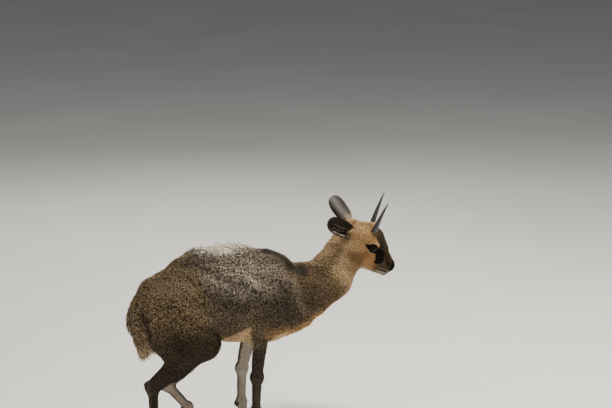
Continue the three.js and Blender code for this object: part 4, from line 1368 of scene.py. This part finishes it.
# %% Ears
# root, way to the tip, way that the cup opens (head's frame), length and half width in millimetres
EARS = {
    "right": ((9, -34, 19), (-0.87, -0.48, 0.02), (-0.3, -0.89, 0.34), 108.0, 23.5),
    "left": ((3, 33, 22), (-0.45, 0.88, 0.03), (0.55, 0.75, -0.25), 104.0, 21.0),
}
EAR_SUNK = 8
STREAKS, STREAK_HALF = (-0.72, -0.30, 0.1), 0.06
STREAK_MARKS = (0.3, 0.35, 0.6, 0.3)
EAR_GAP, EAR_LOCK_WIDE = 1.6, 0.00085


def leaf(t, k, root, axis, open_to, long, half):
    """Points of an ear in the head's frame: t runs from root to tip and k from edge to edge."""
    shape = np.maximum(1 - np.abs((t - 0.5) / 0.52) ** 2.6, 0) ** 0.45
    wide = half * shape * (0.8 + 0.2 * t)
    bend = 1.5 - 0.75 * t
    turn = bend * k
    r = wide / np.sin(np.minimum(bend, math.pi / 2))
    across = np.outer(r * np.sin(turn), np.cross(axis, open_to))
    middle = root + np.outer(long * t - EAR_SUNK, axis) + across
    return middle + np.outer(r * np.cos(bend) - r * np.cos(turn), open_to)


def on_leaf(q, root, axis, open_to, long, half):
    """The way along a leaf and across it, t and k, of points of the head's frame."""
    return ((q - root) @ axis + EAR_SUNK) / long, (q - root) @ np.cross(axis, open_to) / half


def leaf_marks(t, k, facing):
    """Black inside the cup and along the edges, grey outside with darker veins, tan at the root."""
    inner = ramp(facing, -0.1, 0.3)
    edge = np.abs(k)
    veins = bell((k * 3.5 + 1.4 * t) % 1 - 0.5, 0.2) * ramp(t, 0.1, 0.3)
    dark = inner + 0.8 * ramp(edge, 0.5, 0.9) + 0.5 * veins + 0.55 * ramp(-k, 0.0, 0.6)
    dark = np.clip(dark + 0.1 * ramp(t, 0.8, 1), 0, 1) * ramp(t, 0.02, 0.2)
    warm = 0.5 * (1 - ramp(t, 0.05, 0.25))
    return inner, np.stack([warm, dark, 0.10 * (1 - inner) * bell(edge, 0.4), 0.3 - 0.3 * inner], 1)


ear_stuff, tree, surface = new_material("ear skin", Roughness=0.7, Specular_IOR_Level=0.2)
where = on_object(tree)
fine, coarse = noise(tree, where, 500.0, 3.0), noise(tree, where, 70.0, 3.0)
feed(
    tree, surface,
    Base_Color=use_grizzled(tree, attribute(tree, "marks"), fine, coarse, coarse),
    Normal=bumped(tree, fine, 0.3, 0.0005),
)
print("ear skin", len(tree.nodes), "nodes")

# %% Shells and their hair
for name, (root_at, way_of, open_of, reach, half) in EARS.items():
    axis, open_to = unit(np.array(way_of)), np.array(open_of)
    open_to = unit(open_to - axis * (axis @ open_to))
    form = (np.array(root_at), axis, open_to, reach, half)
    ear = added(bpy.ops.mesh.primitive_grid_add, x_subdivisions=36, y_subdivisions=60, size=2)
    co = points_of(ear)
    set_points(ear, row_frame(to_body(leaf(0.01 + (co[:, 1] + 1) / 2, co[:, 0], *form))))
    applied(ear, "SOLIDIFY", thickness=0.0017, offset=-1.0)
    t, k = on_leaf(to_head(body_frame(points_of(ear))), *form)
    inner, marks = leaf_marks(t, k, read(ear.data.vertices, "normal") @ (HEAD_TURN @ open_to))
    paint(ear, "marks", marks)
    finished(ear, "ear_shell_" + name, "ear_" + name, ear_stuff)
    root, normal, triangles = scattered(ear, lambda p: np.full(len(p), EAR_GAP))
    mark, inside = marks[triangles[:, 0]], inner[triangles[:, 0]] > 0.5
    q = to_head(body_frame(root))
    t, k = on_leaf(q, *form)
    bowed = k + 0.25 * (t - 0.4) + 0.06 * drift(q, 9.0, 8)[:, 0]
    streak = np.min([np.abs(bowed - row) for row in STREAKS], 0) < STREAK_HALF
    streak &= inside & (t < 0.66) & (t > 0.14)
    streak &= rng.random(len(t)) < 0.42 - 0.3 * t
    mark[streak] = STREAK_MARKS
    keep = (t > 0.09) & (t < 0.985) & (~inside | streak | (rng.random(len(t)) < 0.35))
    way = np.tile(HEAD_TURN @ axis, (len(t), 1)) + rng.normal(size=(len(t), 3)) * 0.12
    long = np.where(streak, 13.0, np.where(inside, 4.0, 3.6)) * (0.8 + 0.4 * rng.random(len(t)))
    long = np.minimum(long, (1.02 - t) * reach) / 1000
    lift = np.where(streak, 0.14, 0.12) * (0.7 + 0.6 * rng.random(len(t)))
    spots = np.stack([0.02 + 0.46 * (inside + 0.5 * (k + 1)), 0.01 + 0.97 * np.clip(t, 0, 1)], 1)
    lock_mesh(
        "coat_ear_" + name, root[keep], normal[keep], laid(way, normal)[keep], long[keep], lift[keep],
        np.full(keep.sum(), EAR_LOCK_WIDE), mark[keep], rng.random(keep.sum()),
        np.clip(spots[keep], 0.002, 0.995),
    )
print("faces of an ear", len(ear.data.polygons))

# %% [markdown]
# ## Floor and light
# A plain pale floor reaches past the picture on every side. One lamp high over the shoulders gives the soft
# daylight, a weak one near the camera fills the shade, one behind the animal lights its outline, and the sky
# adds the rest. A picture of a real sky would light it as well, but then nobody could read how.

# %% Studio
floor = added(bpy.ops.mesh.primitive_plane_add, size=60)
floor.name = floor.data.name = "floor"
floor_stuff, tree, surface = new_material("pale floor", Roughness=0.9)
cloudy = noise(tree, on_object(tree), 1.5, 4.0)
feed(tree, surface, Base_Color=ramped(tree, cloudy, [(0.3, (0.56, 0.55, 0.53)), (0.7, (0.60, 0.59, 0.57))]))
floor.data.materials.append(floor_stuff)


def lamp(name, at, power, size, colour):
    """A square lamp that shines on the middle of the body."""
    made = added(bpy.ops.object.light_add, type="AREA", location=at)
    made.name = name
    made.data.energy, made.data.size, made.data.color = power, size, colour
    made.rotation_euler = (LOOK_HEIGHT - Vector(at)).to_track_quat("-Z", "Y").to_euler()


lamp("key lamp", (1.1, -0.5, 3.4), 320, 0.9, (1.0, 0.955, 0.875))
lamp("fill lamp", (-2.6, -3.4, 1.8), 12, 2.5, (0.94, 0.97, 1.0))
lamp("back lamp", (0.2, 3.0, 2.2), 45, 1.6, (1.0, 0.98, 0.95))
sky = bpy.data.worlds.new("sky")
sky.use_nodes = True
glow = sky.node_tree.nodes["Background"].inputs
glow["Color"].default_value = (0.86, 0.89, 0.95, 1)
glow["Strength"].default_value = 0.19
bpy.context.scene.world = sky
print("lamps", len(bpy.data.lights))
